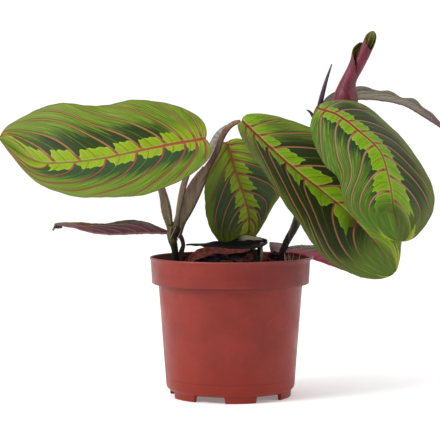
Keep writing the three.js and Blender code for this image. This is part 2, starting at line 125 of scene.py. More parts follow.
def addMesh(name, points, faces, materials, choice=None, maps=None):
    # maps are UV layers with one pair for each point
    mesh = bpy.data.meshes.new(name)
    mesh.from_pydata((np.asarray(points) * mm).tolist(), [], [list(map(int, f)) for f in faces])
    for label, pairs in (maps or {}).items():
        layer = mesh.uv_layers.new(name=label)
        corner = np.empty(len(mesh.loops), int)
        mesh.loops.foreach_get("vertex_index", corner)
        layer.data.foreach_set("uv", np.asarray(pairs, np.float32)[corner].ravel())
    made = addPiece(name, mesh, materials)
    if choice is not None:
        mesh.polygons.foreach_set("material_index", np.asarray(choice, np.int32))
    shadeSmooth(mesh)
    return made


def addSheet(name, upper, lower, materials, maps):
    # the closed sheet between two grids of points; the first material lies on the upper side
    rows, columns = upper.shape[:2]
    half = rows * columns
    index = np.arange(half).reshape(rows, columns)
    border = np.concatenate([index[0, :-1], index[:-1, -1], index[-1, :0:-1], index[:0:-1, 0]])
    following = np.roll(border, -1)
    top = gridFaces(rows, columns)
    rest = np.vstack([gridFaces(rows, columns, half)[:, ::-1],
                      np.stack([border, border + half, following + half, following], -1)])
    choice = [0] * len(top) + [len(materials) - 1] * len(rest)
    maps = {label: np.vstack([pairs.reshape(-1, 2)] * 2) for label, pairs in maps.items()}
    points = np.vstack([upper.reshape(-1, 3), lower.reshape(-1, 3)])
    return addMesh(name, points, np.vstack([top, rest]), materials, choice, maps)


def addForm(name, form, materials):
    # the piece that a bmesh makes, which is used up
    mesh = bpy.data.meshes.new(name)
    form.to_mesh(mesh)
    form.free()
    shadeSmooth(mesh)
    return addPiece(name, mesh, materials)


def settle(piece):
    # replaces the mesh by what its modifiers make of it
    bpy.context.view_layer.update()
    seen = piece.evaluated_get(bpy.context.evaluated_depsgraph_get())
    mesh = bpy.data.meshes.new_from_object(seen)
    piece.modifiers.clear()
    piece.data = mesh
    shadeSmooth(mesh)
    return piece


def standFor(piece, node):
    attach(piece, "root")
    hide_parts(node)
    return piece


# helpers for shader nodes

studioGain = 0.62  # strong studio light shows a surface this much brighter than it is


def colour(red, green, blue):
    # a colour as it is seen in the studio, 0 to 255, turned into the surface's own linear colour
    def linear(c):
        c /= 255
        return studioGain * (c / 12.92 if c <= 0.04045 else ((c + 0.055) / 1.055) ** 2.4)
    return (linear(red), linear(green), linear(blue), 1)


class Field:
    # a node's output, which can be added, taken away, multiplied and divided like a number
    def __init__(self, socket):
        self.socket, self.tree = socket, socket.id_data

    def __add__(self, other):
        return calc("ADD", self, other)

    def __sub__(self, other):
        return calc("SUBTRACT", self, other)

    def __rsub__(self, other):
        return calc("SUBTRACT", other, self)

    def __mul__(self, other):
        return calc("MULTIPLY", self, other)

    def __truediv__(self, other):
        return calc("DIVIDE", self, other)

    def __rtruediv__(self, other):
        return calc("DIVIDE", other, self)


def wire(socket, value):
    if isinstance(value, Field):
        value.tree.links.new(value.socket, socket)
    else:
        socket.default_value = value


def addNode(kind, inputs, tree=None, **settings):
    # the node stands in the tree of what feeds it
    tree = tree or next(value.tree for value in inputs.values() if isinstance(value, Field))
    node = tree.nodes.new("ShaderNode" + kind)
    for key, value in settings.items():
        setattr(node, key, value)
    for key, value in inputs.items():
        wire(node.inputs[key], value)
    return node


def calc(operation, *values):
    return Field(addNode("Math", dict(enumerate(values)), operation=operation).outputs[0])


def between(value, low, high, toLow=0.0, toHigh=1.0):
    # a soft step: toLow below low, toHigh above high
    inputs = {"Value": value, "From Min": low, "From Max": high, "To Min": toLow, "To Max": toHigh}
    return Field(addNode("MapRange", inputs, interpolation_type="SMOOTHSTEP").outputs[0])


def below(value, low, high):
    return between(value, low, high, 1.0, 0.0)


def mixed(factor, first, second):
    return Field(addNode("Mix", {0: factor, 6: first, 7: second}, data_type="RGBA").outputs[2])


def mixedValue(factor, first, second):
    return Field(addNode("Mix", {0: factor, 2: first, 3: second}, data_type="FLOAT").outputs[0])


def noiseAt(place, scale, detail=2.0, roughness=0.5):
    inputs = {"Vector": place, "Scale": scale, "Detail": detail, "Roughness": roughness}
    return Field(addNode("TexNoise", inputs).outputs["Fac"])


def joined(x, y, z=0.0):
    return Field(addNode("CombineXYZ", {0: x, 1: y, 2: z}).outputs[0])


def split(vector):
    return [Field(output) for output in addNode("SeparateXYZ", {0: vector}).outputs]


def vectorCalc(operation, first, second=(0, 0, 0)):
    return Field(addNode("VectorMath", {0: first, 1: second}, operation=operation).outputs["Value"])


def coordinate(tree, label="Object"):
    return Field(addNode("TexCoord", {}, tree).outputs[label])


def mapAt(tree, label):
    return split(Field(addNode("UVMap", {}, tree, uv_map=label).outputs[0]))


def newGroup(name, inputs, outputs):
    # inputs and outputs are {socket name: default value}
    tree = bpy.data.node_groups.new(name, "ShaderNodeTree")
    for direction, sockets in (("INPUT", inputs), ("OUTPUT", outputs)):
        for label, value in sockets.items():
            kind = "NodeSocketColor" if isinstance(value, tuple) else "NodeSocketFloat"
            socket = tree.interface.new_socket(name=label, in_out=direction, socket_type=kind)
            if direction == "INPUT":
                socket.default_value = value
    entry = tree.nodes.new("NodeGroupInput")
    leave = tree.nodes.new("NodeGroupOutput")
    return tree, {label: Field(entry.outputs[label]) for label in inputs}, leave.inputs


def useGroup(tree, group, values):
    node = addNode("Group", {}, tree, node_tree=group)
    for key, value in values.items():
        wire(node.inputs[key], value)
    return {output.name: Field(output) for output in node.outputs}


def newMaterial(name, roughness, specular):
    # a material with one Principled shader whose plain values are set on its own sockets
    material = bpy.data.materials.new(name)
    material.use_nodes = True
    shader = material.node_tree.nodes["Principled BSDF"]
    shader.inputs["Roughness"].default_value = roughness
    shader.inputs["Specular IOR Level"].default_value = specular
    return material, material.node_tree, shader


def bumped(shader, height, strength, distance):
    inputs = {"Height": height, "Strength": strength, "Distance": distance * mm}
    wire(shader.inputs["Normal"], Field(addNode("Bump", inputs).outputs[0]))


# effects that several materials share

def makeMottle():
    # two colours mixed by a cloudy pattern in the object's own space
    group, given, result = newGroup(
        "mottle",
        {"Light": colour(200, 200, 200), "Dark": colour(90, 90, 90), "Size": 4.0, "Stretch": 1.0,
         "Contrast": 0.2},
        {"Color": colour(128, 128, 128), "Mask": 0.0},
    )
    x, y, z = split(coordinate(group))
    cloud = noiseAt(joined(x, y, z / given["Stretch"]), 1000.0 / given["Size"], 4.0, 0.6)
    mask = between(cloud, 0.5 - given["Contrast"], given["Contrast"] + 0.5)
    wire(result["Color"], mixed(mask, given["Dark"], given["Light"]))
    wire(result["Mask"], mask)
    return group


def makeGrain():
    # fine grain for bumps, in the object's own space
    group, given, result = newGroup("grain", {"Size": 0.5, "Coarse size": 4.0}, {"Height": 0.0})
    place = coordinate(group)
    fine = noiseAt(place, 1000.0 / given["Size"], 3.0, 0.6)
    wire(result["Height"], fine * 0.6 + noiseAt(place, 1000.0 / given["Coarse size"]))
    return group


mottle = makeMottle()
grain = makeGrain()


def grainAt(tree, size, coarse):
    return useGroup(tree, grain, {"Size": size, "Coarse size": coarse})["Height"]


def mottleMask(tree, size, stretch, contrast):
    return useGroup(tree, mottle, {"Size": size, "Stretch": stretch, "Contrast": contrast})["Mask"]


def veinReading(tree):
    # what a blade's own maps say at a point, with the distances in mm
    side, along, _ = mapAt(tree, "blade")
    phase, fromRib, _ = mapAt(tree, "veins")
    gap, start, _ = mapAt(tree, "gap")
    fraction = calc("FRACT", phase)
    nearest = calc("MINIMUM", fraction, 1.0 - fraction)
    return SimpleNamespace(
        side=calc("GREATER_THAN", side, 0.0), across=calc("ABSOLUTE", side), along=along, start=start,
        phase=phase, fraction=fraction, fromRib=fromRib * 100.0, fromLateral=nearest * gap * 100.0,
        fromBetween=calc("ABSOLUTE", fraction - 0.56) * gap * 100.0)


# what may differ between the two halves of a blade, with the lime lobes' reach in mm from the midrib
halfLook = {
    "Lime": colour(162, 194, 22),
    "Dark": colour(38, 62, 6),
    "Mid": colour(116, 148, 24),
    "Margin": colour(130, 150, 46),
    "Lateral": colour(200, 152, 96),
    "Lime at base": 10.0,
    "Lime at tip": 10.0,
    "Lobe start": 0.92,   # the lobe's reach at the lateral nearer the base, as a share
    "Lobe peak": 0.7,     # where between two laterals it reaches furthest
    "Lobe end": 0.35,     # its reach at the lateral nearer the tip
    "Dark reach": 0.5,    # how far the dark patches run towards the margin
    "Merge": 0.1,         # how far from the base the lobes flow into one another
    "Lime stop": 0.92,    # how far from the base the last lobe ends
}


def makeLeafPattern():
    # the painted look of a prayer plant's upper side: lime lobes along the midrib, dark patches
    # beyond them, streaks to the margin, and red veins
    halves = {label + half: value for half in (" left", " right") for label, value in halfLook.items()}
    group, given, result = newGroup(
        "leafPattern",
        {**halves, "Streak": colour(152, 182, 70), "Lateral edge": colour(84, 42, 20),
         "Rib": colour(162, 46, 42), "Tip fade": 1.0, "Seed": 0.0},
        {"Color": colour(90, 130, 50), "Height": 0.0, "Streaks": 0.0},
    )
    at = veinReading(group)
    look = {}
    for label, value in halfLook.items():
        pick = mixed if isinstance(value, tuple) else mixedValue
        look[label] = pick(at.side, given[label + " left"], given[label + " right"])
    sideShift = at.side * 31.7 + given["Seed"]
    lobe = calc("FLOOR", at.phase) + sideShift
    chance = Field(addNode("TexWhiteNoise", {"W": lobe}, noise_dimensions="1D").outputs["Value"])

    # streaks run along the laterals, and along the blade at its tip
    nearTip = between(at.along, 0.74, 0.88) * given["Tip fade"]
    tip = calc("MINIMUM", below(at.start, 0.74, 0.88), 1.0 - nearTip)
    fine = joined(at.phase * 12.0, at.across * 2.6, sideShift)
    lengthwise = joined(at.across * 14.0, at.along * 3.0, sideShift)
    streak = mixedValue(tip, noiseAt(lengthwise, 1.6, 3.0, 0.65), noiseAt(fine, 1.6, 3.0, 0.65))
    patch = noiseAt(joined(at.phase * 3.2, at.across * 1.8, sideShift), 1.2)

    # the lime lobe between two laterals: it rises to a point, then falls to the next lateral
    peak = look["Lobe peak"]
    rise = at.fraction * ((1.0 - look["Lobe start"]) / peak) + look["Lobe start"]
    fall = 1.0 - (at.fraction - peak) * ((1.0 - look["Lobe end"]) / (1.0 - peak))
    tooth = calc("PINGPONG", at.fraction * 3.7 + chance, 0.5)
    width = mixedValue(at.start, look["Lime at base"], look["Lime at tip"])
    edge = width * (chance * 0.24 + 0.88) * (calc("MINIMUM", rise, fall) - tooth * 0.26)
    past = at.fromRib - (edge + (streak - 0.5) * 1.8)
    merge = below(at.start, look["Merge"] * 0.4, look["Merge"])
    lime = mixedValue(merge, below(past, -0.3, 0.4), below(past, -6.0, 9.0))
    lime = lime * below(at.start, look["Lime stop"] - 0.14, look["Lime stop"])
    rim = lime * between(past, -1.5, -0.3) * (1.0 - merge)

    # the dark patch, whose far end frays into streaks; the streaks are fainter at the tip
    frayed = at.across + (streak - 0.5) * 0.4 + (patch - 0.5) * 0.45
    reach = look["Dark reach"]
    dark = below(frayed, reach - 0.12, reach + 0.14) * tip * (1.0 - merge)
    calm = tip * 0.65 + 0.35
    outer = mixed(between(at.across, 0.6, 0.97), look["Mid"], look["Margin"])
    outer = mixed(between(streak, 0.5, 0.68) * calm * 0.7, outer, given["Streak"])
    outer = mixed(below(streak, 0.34, 0.5) * calm * 0.5, outer, look["Dark"])
    ground = mixed(dark * (1.12 - streak * 0.3), outer, look["Dark"])
    limeTone = mixed(below(streak, 0.36, 0.6) * 0.42, look["Lime"], look["Mid"])
    ground = mixed(lime, ground, mixed(rim * 0.35, limeTone, colour(196, 216, 90)))

    # a thin vein down the middle of each lobe, and a faint one beyond it
    middle = below(at.fromBetween, 0.12, 0.42) * tip
    ground = mixed(middle * between(at.across, 0.2, 0.8, 0.35, 0.0), ground, given["Streak"])
    ground = mixed(middle * lime * 0.7, ground, colour(104, 84, 14))

    # laterals: two tan lines with a red-brown core between them and a dark edge outside
    lasting = tip * between(at.across, 0.8, 0.995, 1.0, 0.2)
    core = 0.82 - at.across * 0.28
    ground = mixed(below(at.fromLateral, core + 0.3, core + 1.4) * lime * 0.6, ground, colour(206, 190, 90))
    beside = below(at.fromLateral, core + 0.1, core + 0.6) * lasting
    ground = mixed(beside * 0.6, ground, given["Lateral edge"])
    line = below(at.fromLateral, core - 0.4, core) * lasting
    red = mixed(0.45, given["Rib"], given["Lateral edge"])
    toned = mixed(between(at.fromLateral, 0.08, 0.34, 0.6, 0.0), look["Lateral"], red)
    ground = mixed(line * 0.92, ground, mixed(between(at.fromRib, 2.0, 9.0), red, toned))

    # the midrib, thicker where a lateral leaves it, with a pale border
    ribCore = (1.1 - at.along * 0.78) * between(at.fromLateral, 0.3, 3.0, 1.35, 1.0)
    ribFade = below(at.along, 0.84, 0.98)
    border = below(at.fromRib, ribCore + 0.4, ribCore + 1.1)
    ground = mixed(border * lime * 0.55, ground, colour(206, 196, 100))
    ribOutline = below(at.fromRib, ribCore, ribCore + 0.4)
    ribLine = below(at.fromRib, ribCore - 0.35, ribCore)
    ground = mixed(ribOutline * ribFade * 0.6, ground, given["Lateral edge"])
    ground = mixed(ribLine * ribFade, ground, given["Rib"])

    # a thin dark margin
    wire(result["Color"], mixed(between(at.across, 0.972, 0.998) * 0.45, ground, given["Lateral edge"]))
    wire(result["Streaks"], streak)
    wire(result["Height"], streak * 0.9 - calc("MAXIMUM", line, ribLine) * 0.8)
    return group


def makeUndersidePattern():
    # a blade's lower side: purple to grey, with raised veins and faint streaks
    group, given, result = newGroup(
        "undersidePattern",
        {"Base": colour(120, 70, 85), "Tint": colour(105, 110, 75), "Vein": colour(170, 120, 120),
         "Tip": colour(122, 66, 82), "Tint reach": 0.75, "Tint left": 1.0, "Tint right": 1.0, "Seed": 0.0},
        {"Color": colour(120, 70, 85), "Height": 0.0},
    )
    at = veinReading(group)
    streak = noiseAt(joined(at.phase * 8.0, at.across, given["Seed"]), 1.5, 3.0, 0.65)
    frayed = (streak - 0.5) * 0.5 + at.across
    tint = between(frayed, given["Tint reach"] - 0.2, given["Tint reach"])
    tint = tint * mixedValue(at.side, given["Tint left"], given["Tint right"])
    ground = mixed(tint, given["Base"], given["Tint"])
    ground = mixed(between(at.along, 0.72, 0.98, 0.0, 0.8), ground, given["Tip"])
    ground = mixed(between(streak, 0.42, 0.7, 0.0, 0.35), ground, given["Vein"])
    line = below(at.fromLateral, 0.3, 0.75)
    vein = calc("MAXIMUM", line * 0.6, below(at.fromRib, 0.8, 1.5))
    wire(result["Color"], mixed(vein, ground, given["Vein"]))
    wire(result["Height"], streak * 0.6 + vein)
    return group


leafPattern = makeLeafPattern()
undersidePattern = makeUndersidePattern()


def topLook(leaf):
    # the look of both halves, then what is set for one half alone
    values = {"Seed": leaf["seed"]}
    for label, value in leaf.get("top", {}).items():
        for half in (" left", " right") if label in halfLook else ("",):
            values[label + half] = value
    for half in ("left", "right"):
        for label, value in leaf.get(half + " half", {}).items():
            values[label + " " + half] = value
    return values


def leafTopMaterial(name, values):
    material, tree, shader = newMaterial(name, 0.45, 0.2)
    pattern = useGroup(tree, leafPattern, values)
    wire(shader.inputs["Base Color"], pattern["Color"])
    wire(shader.inputs["Roughness"], between(pattern["Streaks"], 0.3, 0.7, 0.38, 0.54))
    bumped(shader, grainAt(tree, 0.5, 5.0) * 0.25 + pattern["Height"], 0.5, 0.35)
    return material


def leafUnderMaterial(name, values):
    material, tree, shader = newMaterial(name, 0.5, 0.2)
    pattern = useGroup(tree, undersidePattern, values)
    wire(shader.inputs["Base Color"], pattern["Color"])
    bumped(shader, grainAt(tree, 0.5, 5.0) * 0.3 + pattern["Height"], 0.5, 0.4)
    return material


# the leaves

blade = {
    "thickness": 0.5,             # mm at the middle
    "marginThickness": 0.28,
    "tipWidth": 0.5,
    "tip": (2.2, 0.6),            # how full and how round the outline is towards the tip
    "swell": 0.07,                # how much each half bulges, as a share of its width
    "waveShift": 0.4,             # turns between the waves of the two halves
    "ragged": 0.35,               # mm that the margin runs in and out
    "raggedTurns": (6.3, 14.7),   # how often it does so from base to tip
    "torn": (0.78, 0.9),          # where a tattered margin begins, and where it is worst
    "rows": 150,
    "columns": 84,
    # depth or height in mm, and width
    "ribGroove": (0.5, 1.3),      # on the upper side
    "ribRidge": (0.9, 0.9),       # on the lower side
    "lateralGroove": (0.3, 0.7),
    "quilt": (0.32, 6),           # mm that the blade puffs up between two laterals, and from where
    "baseSpread": 0.12,           # how soon the laterals sweep fully, as a share of the midrib
}

evenLaterals = ((0.05, 0.14, 0.25, 0.37, 0.5, 0.63, 0.76, 0.88),
                (0.04, 0.12, 0.22, 0.35, 0.48, 0.6, 0.73, 0.86))
evenSweep = ((0.15, 0.35), (0.15, 0.35))

# rib: the midrib from base to tip. left, right: the spokes from the midrib to the margins.
# wave: the margin's waves, by height in mm, number, and where the first begins.
# laterals: where they leave the midrib on each side, from 0 to 1. sweep: how far they run towards the
# tip. Both are even where they aren't given. seed: picks the leaf's own streaks.
leaves = [
    {
        "name": "leafLeftLarge", "node": "leaf_left_large", "widest": 0.46, "seed": 1.0, "tip": (3.2, 0.9),
        "rib": [(-18, -32, 192), (-42, -37, 188), (-67, -40, 183), (-91, -40, 178), (-116, -38, 175),
                (-142, -32, 176), (-169, -22, 192)],
        "left": [(23, -17, -27), (7, -26, -32), (4, -28, -27), (-0.5, -25, -20.3), (-8, -7, -3.5)],
        "right": [(8, 15, 35), (-6, 19, 38), (-7, 18, 37.5), (-8, 19.5, 46.8), (-12, 16, 42)],
        "wave": (0.6, 3.5, 0.2), "sweep": ((0.02, 0.47), (0.2, 0.36)),
        "laterals": ((0.015, 0.055, 0.11, 0.21, 0.338, 0.492, 0.643, 0.77, 0.87),
                     (0.02, 0.051, 0.111, 0.193, 0.307, 0.427, 0.614, 0.737, 0.84, 0.92)),
        "top": {"Dark reach": 0.52, "Rib": colour(190, 84, 62), "Tip fade": 0.3},
        "left half": {"Lime at base": 9.5, "Lobe start": 0.85, "Lobe peak": 0.6, "Lobe end": 0.22,
                      "Merge": 0.06, "Dark": colour(50, 82, 40), "Lateral": colour(190, 92, 82)},
        "right half": {"Lime at base": 10.5, "Lobe start": 0.95, "Lobe peak": 0.74, "Lobe end": 0.35,
                       "Merge": 0.17},
    },
    {
        "name": "leafCentreLarge", "node": "leaf_centre_large", "widest": 0.5, "seed": 2.0,
        "rib": [(8, -20, 205), (27, -30, 187), (46, -38, 170), (66, -42, 154), (85, -42, 138),
                (104, -40, 117), (119, -38, 95)],
        "left": [(6, 10, 23), (18.5, 16, 27.5), (23.5, 14, 26), (28, 13, 25.5), (20, 8, 17)],
        "right": [(-18, -24, -4), (-14, -22, -12), (-18.5, -18, -20), (-29, -12, -26), (-28, -9, -28)],
        "wave": (0.9, 3, 0.55), "tattered": 4, "sweep": ((0.25, 0.2), (0.05, 0.54)),
        "laterals": ((0.043, 0.098, 0.183, 0.315, 0.463, 0.59, 0.7, 0.81, 0.9),
                     (0.035, 0.085, 0.17, 0.283, 0.394, 0.58, 0.719, 0.833, 0.92)),
        "top": {"Lime": colour(142, 190, 14), "Dark": colour(42, 54, 16), "Mid": colour(92, 118, 28)},
        "left half": {"Dark reach": 0.8, "Lime at base": 9.5, "Lime at tip": 15.0, "Lobe start": 0.8,
                      "Lobe peak": 0.72, "Lobe end": 0.3, "Merge": 0.17, "Lime stop": 0.86},
        "right half": {"Dark reach": 0.86, "Lime at base": 8.0, "Lime at tip": 17.0, "Lobe start": 0.55,
                       "Lobe peak": 0.6, "Lobe end": 0.2, "Lime stop": 0.74, "Margin": colour(96, 116, 36)},
    },
    {
        "name": "leafRightFront", "node": "leaf_right_front", "widest": 0.55, "seed": 3.0,
        "rib": [(63, -38, 214), (77, -44, 209), (91, -52, 198), (106, -60, 183), (112, -66, 162),
                (115, -70, 141), (119, -70, 120)],
        "left": [(2, 26, 13), (13, 28, 15.5), (17.5, 32, 10.5), (35.5, 18, -2), (29, 9, -9)],
        "right": [(-24, -18, -26), (-24, -15, -30), (-29, -8, -20.5), (-38, -4, -5), (-38, -2, -1)],
        "wave": (0.8, 3, 0.1), "sweep": ((0.18, 0.17), (-0.08, 0.55)),
        "laterals": ((0.05, 0.133, 0.247, 0.343, 0.439, 0.52, 0.632, 0.767, 0.88),
                     (0.07, 0.21, 0.33, 0.455, 0.602, 0.725, 0.84, 0.93)),
        "top": {"Lime": colour(140, 186, 18), "Lime at base": 7.0, "Lime at tip": 17.5, "Lobe start": 0.85,
                "Lobe end": 0.66, "Lateral": colour(204, 168, 126), "Lime stop": 0.84},
        "left half": {"Dark": colour(52, 66, 24), "Mid": colour(84, 100, 34), "Margin": colour(104, 116, 46),
                      "Dark reach": 0.78},
        "right half": {"Dark": colour(40, 66, 30), "Mid": colour(84, 120, 24), "Margin": colour(96, 130, 34),
                       "Dark reach": 0.4},
    },
    {
        "name": "leafCentreBack", "node": "leaf_centre_back", "widest": 0.45, "seed": 4.0,
        "rib": [(-3, 22, 189), (1, 26, 177), (5, 29, 164), (10, 32, 149), (14, 34, 134), (14, 35, 119),
                (9, 36, 104)],
        "left": [(18, -8, 14), (23, -10, 11), (31, -8, 12), (18, -6, 10), (12, -4, 8)],
        "right": [(-13, -11, 4), (-22, -15, -6), (-29, -14, -1), (-36, -12, -2), (-34, -9, -4)],
        "wave": (0.8, 2.5, 0.3), "sweep": ((0.2, 0.22), (0.2, 0.48)),
        "laterals": ((0.035, 0.102, 0.181, 0.313, 0.464, 0.601, 0.7, 0.8, 0.9),
                     (0.05, 0.161, 0.284, 0.436, 0.572, 0.7, 0.82, 0.92)),
        # painted light: this leaf's colours are lighter than those of the other leaves, to make up for the
        # shade that it lies in
        "top": {"Dark reach": 0.8, "Lime at base": 15.0, "Lime at tip": 7.0, "Lobe start": 0.62,
                "Merge": 0.24, "Lime": colour(170, 208, 34), "Dark": colour(72, 96, 56),
                "Mid": colour(128, 164, 40), "Margin": colour(136, 160, 36),
                "Lateral": colour(204, 152, 112), "Rib": colour(214, 124, 72)},
    },
    {
        "name": "leafRightBack", "node": "leaf_right_back", "widest": 0.45, "seed": 5.0,
        "rib": [(69, 16, 216), (85, 28, 221), (101, 36, 222.5), (117, 42, 221.5), (134, 46, 217.8),
                (150, 50, 209.2), (168, 54, 197.5)],
        "left": [(-8, 18, 2), (-6, 22, 5), (-5, 25, 3), (-4, 24, 3), (-2, 20, 2)],
        "right": [(-1, -14, 15), (6, -23, 9), (8, -24, 3.5), (6, -24, 2.5), (4, -20, 2)],
        "wave": (1.2, 5, 0),
        "under": {"Base": colour(156, 146, 124), "Tint": colour(122, 118, 86), "Vein": colour(124, 102, 90),
                  "Tip": colour(136, 74, 92)},
    },
    {
        "name": "leafLeftLow", "node": "leaf_left_low", "widest": 0.35, "seed": 6.0,
        "rib": [(-46.8, -4, 122.4), (-62, 2, 122), (-77, 6, 121), (-91, 8, 120.6), (-105, 8, 122.2),
                (-118, 7, 125.8), (-132, 6, 127.8)],
        "left": [(3, -8, 3), (2, -11, 9.4), (0, -10, 7.8), (1, -8, 4.4), (0, -6, 4.6)],
        "right": [(2, 8, 3), (2, 11, 8), (0, 11, 8), (2, 8, 5), (0, 6, 4)],
        "wave": (0.8, 2.5, 0.4),
        "top": {"Mid": colour(84, 100, 36), "Margin": colour(60, 62, 42)},
        "under": {"Base": colour(84, 44, 52), "Tint": colour(64, 66, 46), "Vein": colour(160, 104, 106),
                  "Tip": colour(128, 140, 122), "Tint reach": 0.8, "Tint right": 0.2},
    },
    {
        "name": "leafRightLow", "node": "leaf_right_low", "widest": 0.45, "seed": 7.0,
        "rib": [(35, 32, 106), (43.5, 45, 104.6), (55, 52, 101.6), (68, 56, 97.5), (80, 58, 93),
                (92, 58, 88.5), (103, 56, 84)],
        "left": [(-6, 15, 4), (-6, 17, 4), (-2, 18, 5), (2, 17, 6), (2, 14, 5)],
        "right": [(8, -18, 6), (6, -22, 7.5), (3, -25, 12.5), (2, -25, 11), (1, -20, 7)],
        "wave": (0.8, 2.5, 0.7),
        "under": {"Base": colour(168, 48, 80), "Tint": colour(88, 92, 56), "Vein": colour(176, 84, 100),
                  "Tip": colour(130, 40, 62), "Tint reach": 0.55, "Tint left": 0.0},
    },
    {
        "name": "leafLeftHidden", "node": "leaf_left_hidden", "widest": 0.45, "seed": 8.0,
        "rib": [(-57, 9, 166), (-66, 14, 174), (-77, 20, 180), (-90, 26, 182), (-104, 32, 179),
                (-117, 37, 172), (-129, 41, 162)],
        "left": [(2, -14, -6), (1, -17, -8), (-1, -18, -9), (-3, -16, -9), (-3, -12, -7)],
        "right": [(8, 18, 4), (8, 20, 3), (6, 21, 2), (4, 19, 0), (3, 14, 0)],
        "wave": (0.8, 2.5, 0.2),
    },
]


def outline(leaf, t):
    # share of the full half width at t from 0, the base, to 1, the tip
    widest = leaf["widest"]
    fullness, roundness = leaf.get("tip", blade["tip"])
    nearBase = np.sqrt(np.clip(1 - (1 - t / widest) ** 2, 0, 1))
    past = np.clip((t - widest) / (1 - widest), 0, 1)
    return np.where(t < widest, nearBase, (1 - past ** fullness) ** roundness)


def bladeGrid(leaf):
    # the middle of the blade's thickness, with s from -1 to 1, t from base to tip, and mm from the midrib
    t = (1 - np.cos(np.pi * np.linspace(0, 1, blade["rows"]))) / 2
    s = np.linspace(-1, 1, blade["columns"])
    t, s = np.meshgrid(t, (np.sin(s * np.pi / 2) + s) / 2, indexing="ij")
    rib = curveAt(leaf["rib"], t)
    left, right = curveAt(leaf["left"], t), curveAt(leaf["right"], t)
    spoke = np.where(s[..., None] < 0, left, right)
    length = np.linalg.norm(spoke, axis=-1)
    up = unit(np.cross(right - left, directionAt(leaf["rib"], t)))
    u = np.abs(s)
    full = outline(leaf, t)
    height, count, phase = leaf["wave"]
    turns = count * t + phase + np.where(s < 0, blade["waveShift"], 0)
    wave = height * u * u * np.sin(np.pi * t) * np.sin(2 * np.pi * turns)
    lift = (wave + blade["swell"] * length * u * (1 - u)) * full
    coarse, fine = blade["raggedTurns"]
    uneven = (0.6 * np.sin(2 * np.pi * (coarse * t + phase))
              + 0.4 * np.sin(2 * np.pi * (fine * t + 2 * phase + s)))
    ragged = blade["ragged"] * (1 + leaf.get("tattered", 0) * smoothStep(t, *blade["torn"]) * (s < 0))
    reach = full + (blade["tipWidth"] + ragged * uneven * u * np.sin(np.pi * t) ** 0.4) / length
    points = rib + spoke * (u * reach)[..., None] + up * lift[..., None]
    return points, s, t, u * reach * length


def lateralPhase(leaf, s, t):
    # the phase, which is a whole number on each lateral, counted from base to tip, and the place
    # where the lateral through each point leaves the midrib
    phase, leaving = np.zeros_like(t), np.zeros_like(t)
    u = np.abs(s)
    for side in (0, 1):
        first, second = leaf.get("sweep", evenSweep)[side]
        shift = first * u + second * u ** 2.5
        low, high = np.zeros_like(t), np.ones_like(t)
        for _ in range(20):
            start = (low + high) / 2
            past = start + shift * (1 - np.exp(-start / blade["baseSpread"])) > t
            low, high = np.where(past, low, start), np.where(past, start, high)
        knots = np.array([0.0, *leaf.get("laterals", evenLaterals)[side], 1.0])
        here = (s < 0) == (side == 0)
        phase = np.where(here, np.interp(start, knots, np.arange(len(knots))), phase)
        leaving = np.where(here, start, leaving)
    return phase, leaving


def lateralGap(points, phase):
    # mm between two laterals, from how fast the phase changes over the surface
    stepU, stepV = np.gradient(points, axis=0), np.gradient(points, axis=1)
    phaseU = np.gradient(phase, axis=0)
    phaseV = np.hstack([np.gradient(half, axis=1) for half in np.hsplit(phase, 2)])
    e, f, g = (stepU ** 2).sum(-1), (stepU * stepV).sum(-1), (stepV ** 2).sum(-1)
    area = np.maximum(e * g - f * f, 1e-9)
    slope = (g * phaseU ** 2 - 2 * f * phaseU * phaseV + e * phaseV ** 2) / area
    return np.clip(1 / np.sqrt(np.maximum(slope, 1e-9)), 1.0, 25.0)


def hump(distance, heightAndWidth):
    height, width = heightAndWidth
    return height * np.exp(-(distance / width) ** 2)


def relief(phase, gap, fromRib, u):
    # how far the upper side stands off the smooth blade, in mm
    fraction = phase - np.floor(phase)
    distance = np.minimum(fraction, 1 - fraction) * gap
    fade = smoothStep(u, 1.0, 0.75)
    height, full = blade["quilt"]
    puff = height * np.sin(np.pi * fraction) ** 0.8 * np.minimum(fromRib / full, 1)
    return (puff - hump(distance, blade["lateralGroove"])) * fade - hump(fromRib, blade["ribGroove"])


def buildLeaf(leaf, materials):
    points, s, t, fromRib = bladeGrid(leaf)
    phase, start = lateralPhase(leaf, s, t)
    gap = lateralGap(points, phase)
    u = np.abs(s)
    raised = relief(phase, gap, fromRib, u)
    margin = blade["marginThickness"] + (blade["thickness"] - blade["marginThickness"]) * (1 - u ** 3)
    ridge = hump(fromRib, blade["ribRidge"]) * (1 - t) ** 0.7
    normals = normalsOf(points)
    upper = points + normals * (margin / 2 + raised)[..., None]
    lower = points + normals * (-margin / 2 + raised - ridge)[..., None]
    maps = {"blade": np.stack([s, t], -1), "veins": np.stack([phase, fromRib / 100], -1),
            "gap": np.stack([gap / 100, start], -1)}
    return addSheet(leaf["name"], upper, lower, materials, maps)


for leaf in leaves:
    top = leafTopMaterial(leaf["name"] + "Top", topLook(leaf))
    under = leafUnderMaterial(leaf["name"] + "Under", {**leaf.get("under", {}), "Seed": leaf["seed"]})
    standFor(buildLeaf(leaf, [top, under]), leaf["node"])
print("leaves built")


# the dead leaf on the soil and the dry one beside it

